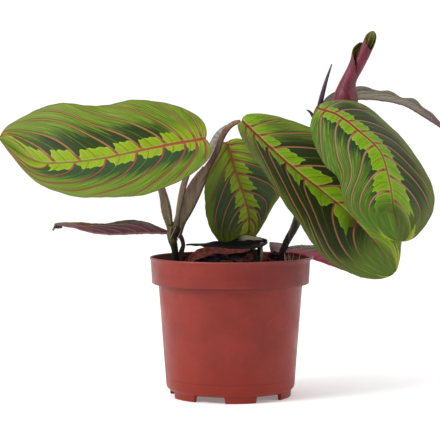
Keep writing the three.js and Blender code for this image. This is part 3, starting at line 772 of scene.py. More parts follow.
def deadMaterial(name, light, dark, rough, gloss=0.3, pale=None):
    material, tree, shader = newMaterial(name, rough, gloss)
    cloud = useGroup(tree, mottle, {"Light": light, "Dark": dark, "Size": 3.0, "Contrast": 0.16})
    at = veinReading(tree)
    fibre = noiseAt(joined(at.phase * 9.0, at.across), 1.6, 3.0)
    tone = mixed(between(fibre, 0.42, 0.62, 0.0, 0.6), cloud["Color"], dark)
    if pale:
        # painted sheen: the half that faces the light is lightened near the base, but not at its very edge
        paintedSheen = below(at.along, 0.28, 0.4) * at.side * between(at.along, 0.06, 0.12)
        inside = between(at.across, 0.38, 0.5) * below(at.across, 0.86, 0.96)
        tone = mixed(paintedSheen * inside * between(fibre, 0.3, 0.6, 1.0, 0.5), tone, pale)
    wire(shader.inputs["Base Color"], tone)
    bumped(shader, grainAt(tree, 0.6, 2.5) + fibre, 0.8, 0.6)
    return material


fallenLeaves = [
    {
        "name": "leafSoilDark", "node": "leaf_soil_dark", "slot": "leaf_dead", "widest": 0.4,
        "rib": [(27.5, 6, 115), (19, 4, 113.2), (9, 1, 112.2), (-2, -1, 112), (-13, -3, 112.3),
                (-23, -6, 113.2), (-33, -9, 113.8)],
        "left": [(4, -14, -1.5), (3, -18, -2.5), (0, -18, -1.5), (-1, -13, -0.8), (-1, -8, 0)],
        "right": [(3, 9, 3), (0, 11, 6.8), (0, 14, 3), (-1, 12, 1), (-1, 9, 0)],
        "wave": (1.1, 3, 0.3),
        "stalk": [(21.5, -7, 92, 2.5), (21.5, -7, 100, 2.6), (21.6, -6, 106, 2.7, 2),
                  (22.5, -1, 111.6, 1.8, 1.2), (24, 3.4, 113.8, 1.4, 1)],
        # near black: partly the leaf's own dark purple, partly painted shade; the last colour is the painted
        # sheen on the half that faces the light
        "colours": (colour(26, 18, 24), colour(6, 4, 8), 0.45, 0.12, colour(252, 250, 206)),
    },
    {
        "name": "leafDried", "node": "leaf_dried", "slot": "leaf_dry", "widest": 0.4,
        "rib": [(-29.5, -29, 103), (-26.5, -29.5, 107.6), (-21.5, -30, 110.8), (-14.5, -30, 111.6),
                (-7, -30, 111), (1, -30, 110.3), (8, -30, 110.3), (14, -30, 110.8)],
        "left": [(0, -3, -5), (1, -4, -5), (1, -4, -2.6), (0, -3, -1.8), (0, -3, -1.6)],
        "right": [(0, 3, -1), (1, 3, 0.5), (1, 3, 0.8), (0, 3, 0.8), (0, 3, 0.5)],
        "wave": (0.5, 3, 0),
        "stalk": [(-31, -28.5, 92, 1.2), (-31, -28.5, 97.5, 1.2), (-29.3, -29, 104, 1.2, 0.9)],
        "colours": (colour(168, 84, 68), colour(104, 48, 40), 0.7, 0.25),
    },
]


# stems, stalks and sheaths

def tubeGrid(points, sides, steps, across=(0, 1, 0), seam=0.0):
    # rings along a curve; each point is (x, y, z, half width[, half depth]); seam is the step, in mm,
    # where a sheath's free edge lies over itself
    rows = np.array([(*p, p[3]) if len(p) == 4 else p for p in points], float)
    t = np.linspace(0, 1, steps)
    row = curveAt(rows, t)
    tangent = directionAt(rows, t)
    side = unit(np.cross(tangent, np.array(across, float)))
    depth = unit(np.cross(side, tangent))
    angle = np.linspace(0, 2 * np.pi, sides, endpoint=False)
    turn = (angle / (2 * np.pi) + 0.28 - 0.35 * t[:, None]) % 1.0
    wide, deep = row[:, 3:4] + seam * (1 - turn), row[:, 4:5] + seam * (1 - turn)
    ring = (side[:, None, :] * (wide * np.cos(angle))[..., None]
            + depth[:, None, :] * (deep * np.sin(angle))[..., None])
    return row[:, None, :3] + ring


def closedTube(grid):
    # a skin over the rings, with a fan of faces at either end
    steps, sides = grid.shape[:2]
    points = np.vstack([grid.reshape(-1, 3), grid[0].mean(0), grid[-1].mean(0)])
    faces = gridFaces(steps, sides, wrap=True).tolist()
    first, last = steps * sides, steps * sides + 1
    for k in range(sides):
        following = (k + 1) % sides
        faces.append([first, following, k])
        faces.append([last, first - sides + k, first - sides + following])
    return points, faces


def gathered(parts):
    # one list of points and faces out of several
    points, faces, start = [], [], 0
    for somePoints, someFaces in parts:
        points.append(somePoints)
        faces += [[start + k for k in face] for face in someFaces]
        start += len(somePoints)
    return np.vstack(points), faces


fusing = {"sides": 28, "stepsPerPoint": 10, "voxel": 0.4, "softening": 5}


def fusedTubes(name, tubes, material, voxel=fusing["voxel"]):
    # tubes that cross are made one skin, then smoothed where they meet
    parts = []
    for tube in tubes:
        steps = fusing["stepsPerPoint"] * len(tube["points"])
        parts.append(closedTube(tubeGrid(sides=fusing["sides"], steps=steps, **tube)))
    made = addMesh(name, *gathered(parts), [material])
    remesh = made.modifiers.new("fuse", "REMESH")
    remesh.mode = "VOXEL"
    remesh.voxel_size = voxel * mm
    smooth = made.modifiers.new("soften", "SMOOTH")
    smooth.factor = 0.5
    smooth.iterations = fusing["softening"]
    return settle(made)


def stalkMaterial(name, bands, streakAndShadeColour, patch=None, greenShare=0.4):
    # bands is a list of (height in mm, colour) from the soil upwards; patch is the middle, in mm, and
    # the radius of a dark spot
    material, tree, shader = newMaterial(name, 0.45, 0.2)
    place = coordinate(tree)
    height = split(place)[2] * 1000.0
    uneven = mottleMask(tree, 3.0, 9.0, 0.2) * 8.0 + height
    ground = bands[0][1]
    for (low, _), (high, tone) in zip(bands, bands[1:]):
        ground = mixed(between(uneven, low + 4, high + 4), ground, tone)
    streaks = mottleMask(tree, 1.3, 22.0, 0.12)
    ground = mixed(streaks * 0.42, ground, streakAndShadeColour)
    # lighter, greener streaks higher up
    pale = mottleMask(tree, 2.1, 16.0, 0.1) * between(height, 112.0, 128.0, 0.0, greenShare)
    ground = mixed(pale, ground, colour(178, 170, 104))
    # painted shade: surfaces that face sideways, and those that face right and down, are darkened towards the
    # streak colour
    right, back, up = split(coordinate(tree, "Normal"))
    sideways = below(calc("ABSOLUTE", back), 0.1, 0.5) * 0.6
    shade = calc("MAXIMUM", sideways, between(right - up * 0.8, 0.4, 1.0))
    ground = mixed(shade * 0.75, ground, streakAndShadeColour)
    if patch:
        centre, reach = patch
        off = vectorCalc("DISTANCE", place, tuple(c * mm for c in centre)) - streaks * 0.0012
        spot = between(off, 0.75 * reach * mm, reach * mm, 0.85, 0.0)
        ground = mixed(spot, ground, colour(50, 26, 24))
    wire(shader.inputs["Base Color"], ground)
    bumped(shader, streaks * 0.8 + grainAt(tree, 0.5, 3.0), 0.5, 0.4)
    return material


def stubMaterial():
    # the dead leaf's own stalk: dark green, and bleached on its right side
    material, tree, shader = newMaterial("stub", 0.5, 0.2)
    streaks = mottleMask(tree, 1.1, 14.0, 0.2)
    edge = split(coordinate(tree))[0] * 1000.0 + streaks * 0.8
    tone = mixed(between(edge, 22.0, 23.0), colour(38, 62, 34), colour(176, 162, 140))
    tone = mixed(between(edge, 23.6, 24.2, 0.0, 0.7), tone, colour(150, 90, 96))
    wire(shader.inputs["Base Color"], tone)
    bumped(shader, streaks, 0.4, 0.4)
    return material


leftShoot = {
    "name": "leftShoot", "node": "left_shoot",
    "colours": [(98, colour(24, 26, 12)), (112, colour(38, 42, 16)), (118, colour(116, 120, 52)),
                (124, colour(128, 116, 70)), (138, colour(176, 150, 130)), (160, colour(170, 138, 126)),
                (176, colour(124, 72, 76)), (204, colour(158, 100, 88))],
    "streaks": colour(58, 38, 34),
    "patch": ((-39, -9.5, 121.5), 5.6),
    "tubes": [
        {"points": [(-41, -6, 92, 2.4), (-40.5, -6, 100, 2.4), (-41.4, -6, 110, 2.4), (-43, -6, 117, 3.3),
                    (-42.8, -5, 122, 4.5), (-42.2, -5, 127, 4.4)], "seam": 0.3},
        {"points": [(-42, -4, 120, 3), (-45, -3, 127, 2.4, 2.4), (-47.5, -2, 138, 3.6, 2.4),
                    (-49.5, 1, 148, 2.9, 2.3), (-53, 6, 159, 2.2), (-56, 8.4, 164.8, 1.6)], "seam": 0.6},
        {"points": [(-41, -7, 122, 2.6), (-39.5, -8, 132, 1.8), (-38, -9, 142, 2), (-35, -12, 156, 2.4, 2),
                    (-31, -17, 168, 2.1), (-24, -25, 181, 1.9), (-18.5, -30, 190, 1.6)]},
        {"points": [(-40, -4, 120, 3.4), (-37.5, -4, 130, 4.2, 2.8), (-33, -4, 140, 5.2, 3),
                    (-28.5, -4, 150, 5.5, 3), (-23.5, -4, 160, 4.7, 2.8), (-18, -4.5, 170, 2.9, 2.3)],
         "seam": 0.7},
        {"points": [(-26, -5, 155, 2.2), (-17, -6, 170, 2.2), (-10.4, -8, 182, 2.2), (-6.4, -10, 192.6, 2.2),
                    (-2.4, -14, 199.4, 2.2), (2.4, -17, 203.2, 1.9), (6.9, -19.4, 204.5, 1.5)]},
        {"points": [(-27, 0, 152, 2), (-24, 9, 160, 2), (-17.5, 19, 171, 1.9), (-10, 23, 181.5, 1.7),
                    (-4.7, 23.6, 188.8, 1.3)]},
    ],
}

# slim stalks that stand alone
slimStalks = [
    {   # the side stem that leaves the left shoot's joint and goes down beside it
        "name": "leftShootSideStem", "node": "left_shoot",
        "points": [(-37.6, -3, 92, 2.4), (-37.6, -3, 101, 2.5), (-36.6, -3, 107.5, 2.0),
                   (-35.2, -3, 113, 1.6), (-37, -4, 119, 1.8), (-40, -5, 122, 2)],
        "skin": ("sideStemSkin", [(98, colour(176, 134, 132)), (116, colour(84, 52, 50))],
                 colour(66, 42, 46)),
    },
    {   # the stalk of the folded leaf behind the rim
        "name": "leafRightLowStalk", "node": "leaf_right_low",
        "points": [(34.6, 28, 92, 2), (34.6, 28, 98, 2.2), (34.4, 29, 103.5, 3, 2.2),
                   (34.4, 30.4, 108.5, 4.4, 2.4), (34.8, 31.4, 112.4, 5, 1.4)],
        "skin": ("lowStalkSkin", [(92, colour(150, 110, 108)), (102, colour(214, 168, 168))],
                 colour(130, 92, 94)),
    },
]

# the dry pale edges of the sheaths round the left shoot's joint
sheathEdges = [
    [(-44.2, -9.2, 118.6, 0.2), (-42.6, -9.8, 122.4, 0.35), (-40.4, -9.2, 126.6, 0.35),
     (-38, -8.4, 130.4, 0.15)],
    [(-36.4, -8.8, 124.6, 0.2), (-37.6, -9.2, 121.6, 0.35), (-39, -9.2, 118, 0.3),
     (-40, -8.8, 115, 0.15)],
    [(-44.4, -5.2, 128, 0.2), (-45.3, -5.0, 134, 0.35), (-46.6, -4.6, 141, 0.35), (-48.2, -3, 148, 0.15)],
]

rightShoot = {
    "name": "rightShoot", "node": "right_shoot",
    "colours": [(98, colour(30, 24, 26)), (114, colour(38, 34, 30)), (130, colour(58, 58, 44)),
                (142, colour(84, 92, 62)), (160, colour(62, 62, 44)), (196, colour(70, 60, 44)),
                (212, colour(96, 96, 54))],
    "streaks": colour(34, 26, 28),
    "tubes": [
        {"points": [(34, 6, 92, 2.3), (36.5, 6, 98, 2.3), (39.5, 6, 108, 2.3), (43, 6, 116, 2.5),
                    (47, 6, 123, 2.7), (50, 6, 130, 3.1), (52, 5, 138, 3), (53, 5, 147, 2.3),
                    (55.5, 4, 169, 2.2), (59, 3, 190, 2.2), (62.5, 2, 203, 2.6)], "seam": 0.4},
        {"points": [(61.5, 3, 200, 2.6), (63, -3, 206, 2.2), (64, -14, 209.4, 1.9), (63.6, -26, 211.4, 1.8),
                    (62.6, -36.4, 212.6, 1.4)], "across": (1, 0, 0)},
        {"points": [(62, 3, 201, 2.6), (63.5, 7, 209, 2.2), (66, 12, 215, 1.8), (68.4, 15.4, 215.8, 1.6)]},
        {"points": [(62, 2, 202, 2.6), (67, 2, 203.5, 2.2), (73, 1.4, 206, 2), (77, 1, 209, 1.9)]},
    ],
}

# two pointed sheaths and a leaf's curled tip: their middle line, the half width along it, the way that
# they face, and how deeply they are cupped
strips = [
    {
        "name": "sheathWing", "node": "left_shoot", "cup": 1.2,
        "rib": [(-18.6, -7, 176), (-14.2, -8, 184), (-10.9, -9.4, 190.6), (-7.2, -11, 196.6),
                (-3.4, -13.2, 201.8)],
        "side": (0.8, -0.1, -0.5), "half": (1.4, 3.0, 3.3, 2.6, 0.5),
        # painted light: the wing's light colour is set past the studio scale, close to pure white, to lighten
        # it where it lies in shade
        "look": ((0.95, 0.93, 0.85, 1), colour(214, 204, 184)),
    },
    {
        "name": "sheathTipLeft", "node": "right_shoot", "cup": 0.6,
        "rib": [(61, -20, 206), (59.6, -24, 209), (57.4, -28, 211.6), (54.8, -31, 213)],
        "side": (0.2, 0.1, 1.0), "half": (2.2, 1.6, 0.9, 0.15),
        "look": (colour(74, 74, 50), colour(40, 40, 34)),
    },
    {
        "name": "leafLeftLowCurl", "node": "leaf_left_low", "slot": "leaf_blade", "cup": 2.4,
        "rib": [(-126, 6, 126.6), (-129.4, 5, 126.4), (-131.6, 4, 125.4), (-133.2, 4, 123.4)],
        "side": (0.5, 0.2, 1.0), "half": (1.6, 1.9, 0.9, 1.3),
        "look": (colour(150, 160, 136), colour(92, 100, 84)),
    },
]


# in mm: how long and thick the hairs are, and the height that they start from
hairs = {"count": 900, "length": (0.5, 1.3), "radius": 0.045, "narrowing": 0.42, "from": 108, "seed": 21}


def buildHairs(name, stem, node):
    # short soft hairs that stand off the stalks above the soil
    draw = random.Random(hairs["seed"])
    roots = [v for v in stem.data.vertices if v.co.z > hairs["from"] * mm]
    parts = []
    for root in draw.sample(roots, min(hairs["count"], len(roots))):
        foot = root.co / mm
        lean = Vector((draw.uniform(-0.4, 0.4), draw.uniform(-0.4, 0.4), draw.uniform(-0.1, 0.7)))
        tall = draw.uniform(*hairs["length"])
        out = (root.normal + lean).normalized() * tall
        droop = Vector((0, 0, -0.12 * tall))
        points = [(*(foot + out * k / 2 + droop * k * k / 4), hairs["radius"] * (1 - hairs["narrowing"] * k))
                  for k in range(3)]
        parts.append(closedTube(tubeGrid(points, 3, 4, (0.3, 0.9, 0.2))))
    skin = deadMaterial(name + "Skin", colour(220, 214, 196), colour(170, 160, 140), 0.6)
    standFor(addMesh(name, *gathered(parts), [skin]), node)


def buildStems():
    for shoot in (leftShoot, rightShoot):
        name, node = shoot["name"], shoot["node"]
        skin = stalkMaterial(name + "Skin", shoot["colours"], shoot["streaks"], shoot.get("patch"))
        stem = standFor(fusedTubes(name, shoot["tubes"], skin), node)
        buildHairs(name + "Hairs", stem, node)
    pale = deadMaterial("sheathEdgeSkin", colour(236, 228, 206), colour(170, 160, 130), 0.5)
    edges = [closedTube(tubeGrid(points, 8, 24)) for points in sheathEdges]
    standFor(addMesh("leftShootEdges", *gathered(edges), [pale]), "left_shoot")
    for stalk in slimStalks:
        skin = stalkMaterial(*stalk["skin"])
        standFor(fusedTubes(stalk["name"], [{"points": stalk["points"]}], skin, 0.3), stalk["node"])


def buildFallenLeaves():
    for leaf in fallenLeaves:
        skin = deadMaterial(leaf["name"] + "Skin", *leaf["colours"])
        standFor(buildLeaf(leaf, [skin, skin]), leaf["node"])
        stalkSkin = stubMaterial() if leaf["slot"] == "leaf_dead" else skin
        stalk = fusedTubes(leaf["name"] + "Stalk", [{"points": leaf["stalk"]}], stalkSkin, 0.3)
        standFor(stalk, leaf["node"])


def buildStrip(strip):
    # a thin cupped strip that narrows to its tip
    material = deadMaterial(strip["name"] + "Skin", *strip["look"], 0.5)
    rows, columns, thickness = 40, 15, 0.25
    t, s = np.meshgrid(np.linspace(0, 1, rows), np.linspace(-1, 1, columns), indexing="ij")
    tangent = directionAt(strip["rib"], t)
    side = np.array(strip["side"], float)
    side = unit(side - tangent * (tangent * side).sum(-1)[..., None])
    half = curveAt(strip["half"], t)
    sunk = strip["cup"] * (s * s - 1) * half / 3
    points = (curveAt(strip["rib"], t) + side * (s * half)[..., None]
              + unit(np.cross(side, tangent)) * sunk[..., None])
    skin = normalsOf(points) * thickness / 2
    maps = dict.fromkeys(("blade", "veins", "gap"), np.stack([s * 3, t], -1))
    made = addSheet(strip["name"], points + skin, points - skin, [material], maps)
    standFor(made, strip["node"])


buildStems()
buildFallenLeaves()
for strip in strips:
    buildStrip(strip)
print("stems built")


# the leaf that is still rolled up, and the spike of the next one

rolledLeaf = {
    # the middle of the tight tube and of the looser wrap round it, from the stalk to the open end
    "tube": [(77, 1, 208.6), (83.5, 0, 223), (90.2, -2, 237), (98.2, -3, 253), (106.2, -4, 271.4)],
    "wrap": [(78, 1, 208.6), (85.6, -1, 222), (88.4, -2, 236.5), (97, -3, 252.4), (104.4, -4, 269)],
    "tubeRadius": (2.2, 3.6, 3.9, 4.1, 4.3),
    "wrapRadius": (5.2, 9.4, 5.2, 5.6, 5.0),
    "turns": 1080,        # degrees from the innermost edge to the free margin
    # where the free margin lies, in degrees from the right: behind, left, in front, then right
    "margin": ((0, 0.35, 0.5, 0.62, 0.76, 0.88, 1), (500, 460, 362, 272, 188, 140, 120)),
    "flare": (2.6, 0.8, 0.12),  # mm that the margin stands off the tube, where, and over what share
    "shortfall": 0.11,    # how much sooner the margin ends than the tube
    "slant": 0.17,        # how much lower the open end lies in front than behind
    "thickness": 0.5,
    "rows": 120,
    "columns": 230,
}


def rolledMaterial(name, ground, shade, veinTone, lowTone):
    material, tree, shader = newMaterial(name, 0.42, 0.28)
    at = veinReading(tree)
    cloud = useGroup(tree, mottle, {"Light": ground, "Dark": shade, "Size": 9.0, "Contrast": 0.25})
    streak = noiseAt(joined(at.phase * 7.0, at.along), 1.4, 3.0, 0.6)
    tone = mixed(between(streak, 0.45, 0.66, 0.0, 0.4), cloud["Color"], veinTone)
    tone = mixed(between(streak, 0.3, 0.46, 0.5, 0.0), tone, shade)
    tone = mixed(between(at.fromLateral, 0.1, 0.5, 0.35, 0.0), tone, shade)
    # near the foot, the part towards the free margin is browner
    low = between(at.across, 0.82, 0.92) * between(at.along, 0.5, 0.25, 0.0, 0.8)
    wire(shader.inputs["Base Color"], mixed(low, tone, lowTone))
    bumped(shader, streak * 1.2 + grainAt(tree, 0.5, 4.0), 0.5, 0.35)
    return material


def buildRolledLeaf():
    leaf = rolledLeaf
    along, v = np.meshgrid(np.linspace(0, 1, leaf["rows"]), np.linspace(0, 1, leaf["columns"]), indexing="ij")
    coiled = leaf["turns"] * (1 - v)
    turn = np.radians(np.interp(along, *leaf["margin"]) - coiled)
    t = along * (1 - leaf["shortfall"] * smoothStep(v, 0.6, 1.0) - leaf["slant"] * (1 - np.sin(turn)) / 2)
    # outward: from 0 on the tight tube to 1 on the wrap round it, which tightens towards the open end
    late = smoothStep(t, 0.45, 0.75)
    outward = smoothStep(v - 0.34 * late, 0.5, 0.8 - 0.14 * late)
    coil = curveAt(leaf["tubeRadius"], t) * (0.3 + 0.7 * smoothStep(v, 0.0, 0.5))
    flare, place, spread = leaf["flare"]
    radius = coil + (curveAt(leaf["wrapRadius"], t) - coil) * outward
    radius += flare * np.exp(-((t - place) / spread) ** 2) * smoothStep(v, 0.8, 1.0)
    outward = outward[..., None]
    middle = curveAt(leaf["tube"], t) * (1 - outward) + curveAt(leaf["wrap"], t) * outward
    tangent = directionAt(leaf["tube"], t)
    side = unit(np.cross(np.array([0.0, 1.0, 0.0]), tangent))
    depth = np.cross(tangent, side)
    angle = np.radians(np.interp(t, *leaf["margin"]) - coiled)
    points = middle + side * (radius * np.cos(angle))[..., None] + depth * (radius * np.sin(angle))[..., None]
    skin = normalsOf(points) * leaf["thickness"] / 2
    maps = {"blade": np.stack([v, t], -1), "veins": np.stack([16 * v + 3 * t, v * 0.3], -1),
            "gap": np.full((*t.shape, 2), 0.055)}
    outside = rolledMaterial("rolledOutside", colour(138, 44, 68), colour(92, 30, 42), colour(168, 70, 92),
                             colour(92, 54, 34))
    # painted light: the inside's olive is lightened to make up for the shade within the wrap
    inside = rolledMaterial("rolledInside", colour(140, 134, 44), colour(86, 78, 26), colour(168, 160, 70),
                            colour(140, 134, 44))
    made = addSheet("leafRolled", points + skin, points - skin, [outside, inside], maps)
    standFor(made, "leaf_rolled")


spike = {
    "points": [(64.6, 2.5, 207.6, 1.5), (67.6, 2.5, 221, 1.7), (71.2, 2.5, 234.5, 1.1),
               (75.4, 2.5, 247.4, 0.3)],
    "seam": 0.3,
}


def buildSpike():
    bands = [(205, colour(74, 46, 62)), (248, colour(116, 84, 96))]
    skin = stalkMaterial("spikeSkin", bands, colour(48, 30, 42), greenShare=0.0)
    standFor(fusedTubes("leafSpike", [spike], skin, 0.2), "leaf_spike")


buildRolledLeaf()
buildSpike()
print("rolled leaf built")


# the nursery pot, in mm and degrees

pot = {
    "height": 104, "wall": 1.5, "rimRadius": 60.2, "bandHeight": 19.5, "bandRadius": 58.7,
    "shoulderRadius": 53.7, "heelRadius": 48.1, "heelHeight": 8.4, "ringRadius": 45.6, "ringWidth": 3,
    "ringHeight": 5, "feet": 6, "footSpan": 30, "firstFoot": -80.5, "drainRadius": 4.5, "drainCircle": 35,
    "segments": 360, "lipFlare": 2.4, "lipFlareWidth": 13,
}
# the same as attributes, with the band's lower edge and the inside of the standing ring
p = SimpleNamespace(**pot, ledge=pot["height"] - pot["bandHeight"],
                    ringInner=pot["ringRadius"] - pot["ringWidth"])


def arc(centre, radius, start, end, count):
    angles = np.radians(np.linspace(start, end, count))
    return [(centre[0] + radius * math.cos(a), centre[1] + radius * math.sin(a)) for a in angles]


def straight(first, last, count):
    return [tuple(np.array(first) + (np.array(last) - np.array(first)) * k / count) for k in range(1, count)]


def potProfile():
    # radius and height from the middle of the floor's underside, over the lip, to the middle of the floor
    drain = (p.drainCircle - p.drainRadius, p.drainCircle + p.drainRadius)
    under = [(radius, p.ringHeight) for radius in (0.6, 12, 24, *drain, p.ringInner - 0.4)]
    ring = [(p.ringInner, p.ringHeight - 0.4), (p.ringInner, 2.4), (p.ringInner, 0.4), (p.ringInner + 0.4, 0),
            (p.ringRadius - 0.9, 0), (p.ringRadius - 0.45, 0.14), (p.ringRadius - 0.2, 0.6),
            (p.ringRadius - 0.1, 2.4), (p.ringRadius, p.ringHeight - 0.5)]
    heel = [(p.heelRadius - inward, p.heelHeight - down)
            for inward, down in ((1.6, 2.6), (0.9, 2.0), (0.35, 1.1), (0, 0))]
    step = [(p.shoulderRadius, p.ledge - 1.5), (p.shoulderRadius + 0.25, p.ledge - 0.85),
            (p.shoulderRadius + 0.9, p.ledge - 0.6), (p.bandRadius - 0.9, p.ledge - 0.4),
            (p.bandRadius - 0.3, p.ledge - 0.2), (p.bandRadius, p.ledge + 0.5)]
    wall = straight(heel[-1], step[0], 26)
    lip = [(p.rimRadius - 0.75, p.height - 2.8), (p.rimRadius - 0.5, p.height - 2.2),
           *arc((p.rimRadius - 0.85, p.height - 0.9), 0.9, -40, 150, 9)]
    band = straight(step[-1], lip[0], 8)
    inner = [(p.rimRadius - p.wall - 0.5, p.height - 1.4), (p.bandRadius - p.wall, p.ledge + p.wall),
             (p.shoulderRadius - p.wall, p.ledge - 0.45), (p.heelRadius - p.wall, p.heelHeight)]
    inside = (p.heelRadius - p.wall - 1.3, drain[1], drain[0], 12, 0.6)
    floor = [(radius, p.ringHeight + p.wall) for radius in inside]
    return under + ring + heel + wall + step + band + lip + inner + floor


def potPoints():
    profile = np.array(potProfile())
    angle = np.linspace(0, 2 * np.pi, p.segments, endpoint=False)
    # 1 where a slot is cut between two feet, with a soft edge
    pitch = 2 * np.pi / p.feet
    fromFoot = np.degrees(np.abs((angle - math.radians(p.firstFoot) + pitch / 2) % pitch - pitch / 2))
    slot = smoothStep(fromFoot, p.footSpan / 2 - 0.3, p.footSpan / 2 + 0.3)
    radius = np.repeat(profile[:, :1], len(angle), 1)
    height = np.repeat(profile[:, 1:], len(angle), 1)
    isRing = (profile[:, 0] > p.ringInner - 0.1) & (profile[:, 1] < p.ringHeight - 0.3)
    raised = np.where(isRing[:, None], p.ringHeight - 0.3 + height * 0.05, height)
    height = height + (raised - height) * slot
    # the lip is bent outwards at the right
    fromRight = np.degrees((angle + np.pi) % (2 * np.pi) - np.pi)
    bent = p.lipFlare * np.exp(-(fromRight / p.lipFlareWidth) ** 2)
    radius = radius + bent * smoothStep(height, p.height - 3.5, p.height)
    return np.stack([radius * np.cos(angle), radius * np.sin(angle), height], -1)


def drainCutter():
    form = bmesh.new()
    for k in range(p.feet):
        turn = math.radians(p.firstFoot + 360 / p.feet * (k + 0.5))
        found = bmesh.ops.create_cone(form, cap_ends=True, segments=32, radius1=p.drainRadius * mm,
                                      radius2=p.drainRadius * mm, depth=6 * mm)
        spot = Vector((p.drainCircle * math.cos(turn), p.drainCircle * math.sin(turn), p.ringHeight)) * mm
        bmesh.ops.translate(form, verts=found["verts"], vec=spot)
    return addForm("drains", form, [])


def buildPot(material):
    points, faces = closedTube(potPoints())
    made = addMesh("potBody", points, [face[::-1] for face in faces], [material])
    drains = drainCutter()
    cut = made.modifiers.new("drains", "BOOLEAN")
    cut.operation = "DIFFERENCE"
    cut.object = drains
    settle(made)
    bpy.data.objects.remove(drains)
    return made


def potMaterial():
    material, tree, shader = newMaterial("potPlastic", 0.4, 0.22)
    place = coordinate(tree)
    x, y, z = split(place)
    height = z * 1000.0
    cloud = useGroup(tree, mottle, {"Light": colour(160, 56, 44), "Dark": colour(146, 48, 38), "Size": 26.0,
                                    "Contrast": 0.2})
    # scuffs in no set direction, and small dark marks
    turn = calc("ARCTAN2", y, x)
    bent = noiseAt(joined(turn * 55.0, height), 0.08)
    scratch = noiseAt(joined(turn * 22.0, height * 1.6, bent), 0.7, 2.0, 0.6)
    marks = noiseAt(place, 420.0)
    # painted shade under the band and inside the lip, darker inside at the left, and a faint darker line
    # round the foot
    shadowed = between(height, 82.6, 83.8) * below(height, 84.2, 85.0)
    around = vectorCalc("LENGTH", joined(x, y))
    shadeInside = below(around, 0.0584, 0.0592) * between(height, 90.0, 92.0) * between(x, -0.02, 0.04, 1.0, 0.3)
    line = between(calc("ABSOLUTE", height - 14.0), 0.2, 0.7, 0.3, 0.0)
    shadeAndFootLine = calc("MAXIMUM", calc("MAXIMUM", shadowed * 0.55, line), shadeInside * 0.92)
    tone = cloud["Color"]
    for mask, paint in (
        (between(height, 34.0, 4.0) * 0.75, colour(158, 46, 26)),         # warmer low down
        (between(scratch, 0.69, 0.76) * 0.16, colour(205, 140, 128)),
        (between(marks, 0.7, 0.76) * 0.4, colour(96, 36, 32)),
        # painted highlight: a pale line along the top of the lip
        (between(height, 102.6, 103.6) * 0.35, colour(196, 110, 98)),     # the pale lip
        # painted shade: the band, from just above its lower edge up to the lip, is darkened towards the right
        (between(height, 84.0, 84.8) * between(x, -0.045, 0.03, 0.0, 0.24), colour(92, 34, 38)),
        # painted shade under the band and inside the lip, and the faint line round the foot
        (shadeAndFootLine, colour(96, 34, 30)),
    ):
        tone = mixed(mask, tone, paint)
    wire(shader.inputs["Base Color"], tone)
    gloss = between(noiseAt(place, 60.0, 3.0, 0.6), 0.3, 0.7, 0.34, 0.5)
    wire(shader.inputs["Roughness"], calc("MAXIMUM", gloss, shadeAndFootLine * 0.9))
    bumped(shader, scratch * 0.5 + grainAt(tree, 0.7, 7.0), 0.16, 0.3)
    return material


standFor(buildPot(potMaterial()), "pot")
print("pot built")


# the peat

soil = {
    "edgeHeight": 97.5, "crownHeight": 101, "edgeRadius": 57.3, "rings": 90, "segments": 260,
    "clear": 0.3,              # mm between the peat and the inside of the pot
    "relief": (1.5, 0.6),      # mm that the clods and the fine grains of the surface rise
    "seed": 7,
    "crumbs": 620,
    "crumbSize": (0.6, 2.8),   # radius in mm
    "barkShare": 0.42,         # how many of the crumbs are bark
    "fibres": 130,
    "fibreLength": (7, 22),
    "fibreRadius": 0.34,
    "fibreLift": 2.2,          # mm that the middle of a fibre stands off the peat
}


def soilHeight(x, y):
    # in mm: a low mound with clods
    away = math.hypot(x, y) / soil["edgeRadius"]
    crown = soil["edgeHeight"] + (soil["crownHeight"] - soil["edgeHeight"]) * (1 - away ** 2)
    coarse = noise.fractal(Vector((x, y, 3)) / 9, 0.8, 2.1, 5)
    fine = noise.fractal(Vector((x, y, 9)) / 2.4, 0.9, 2.0, 4)
    high, low = soil["relief"]
    return crown + high * coarse + low * fine - low


def peatMaterial(name, light, dark, rough):
    material, tree, shader = newMaterial(name, rough, 0.25)
    cloud = useGroup(tree, mottle, {"Light": light, "Dark": dark, "Size": 2.2, "Contrast": 0.14})
    wire(shader.inputs["Base Color"], cloud["Color"])
    bumped(shader, grainAt(tree, 0.5, 1.6), 0.9, 0.9)
    return material


def buildSoil():
    gap = p.wall + soil["clear"]
    floor = p.ringHeight + gap
    sides = [(0.6, floor), (p.heelRadius - gap - 1.3, floor), (p.heelRadius - gap, p.heelHeight + 0.3),
             (p.shoulderRadius - gap, p.ledge - 0.1), (p.bandRadius - gap, p.ledge + gap),
             (p.bandRadius - gap + 0.1, 92)]
    angle = np.linspace(0, 2 * np.pi, soil["segments"], endpoint=False)
    rings = [np.stack([r * np.cos(angle), r * np.sin(angle), np.full_like(angle, z)], -1) for r, z in sides]
    for share in np.linspace(1, 0.01, soil["rings"]):
        r = soil["edgeRadius"] * share
        x, y = r * np.cos(angle), r * np.sin(angle)
        rings.append(np.stack([x, y, [soilHeight(a, b) for a, b in zip(x, y)]], -1))
    points, faces = closedTube(np.array(rings))
    peat = peatMaterial("peat", colour(84, 44, 40), colour(20, 12, 14), 0.95)
    standFor(addMesh("soilBody", points, faces, [peat]), "soil")


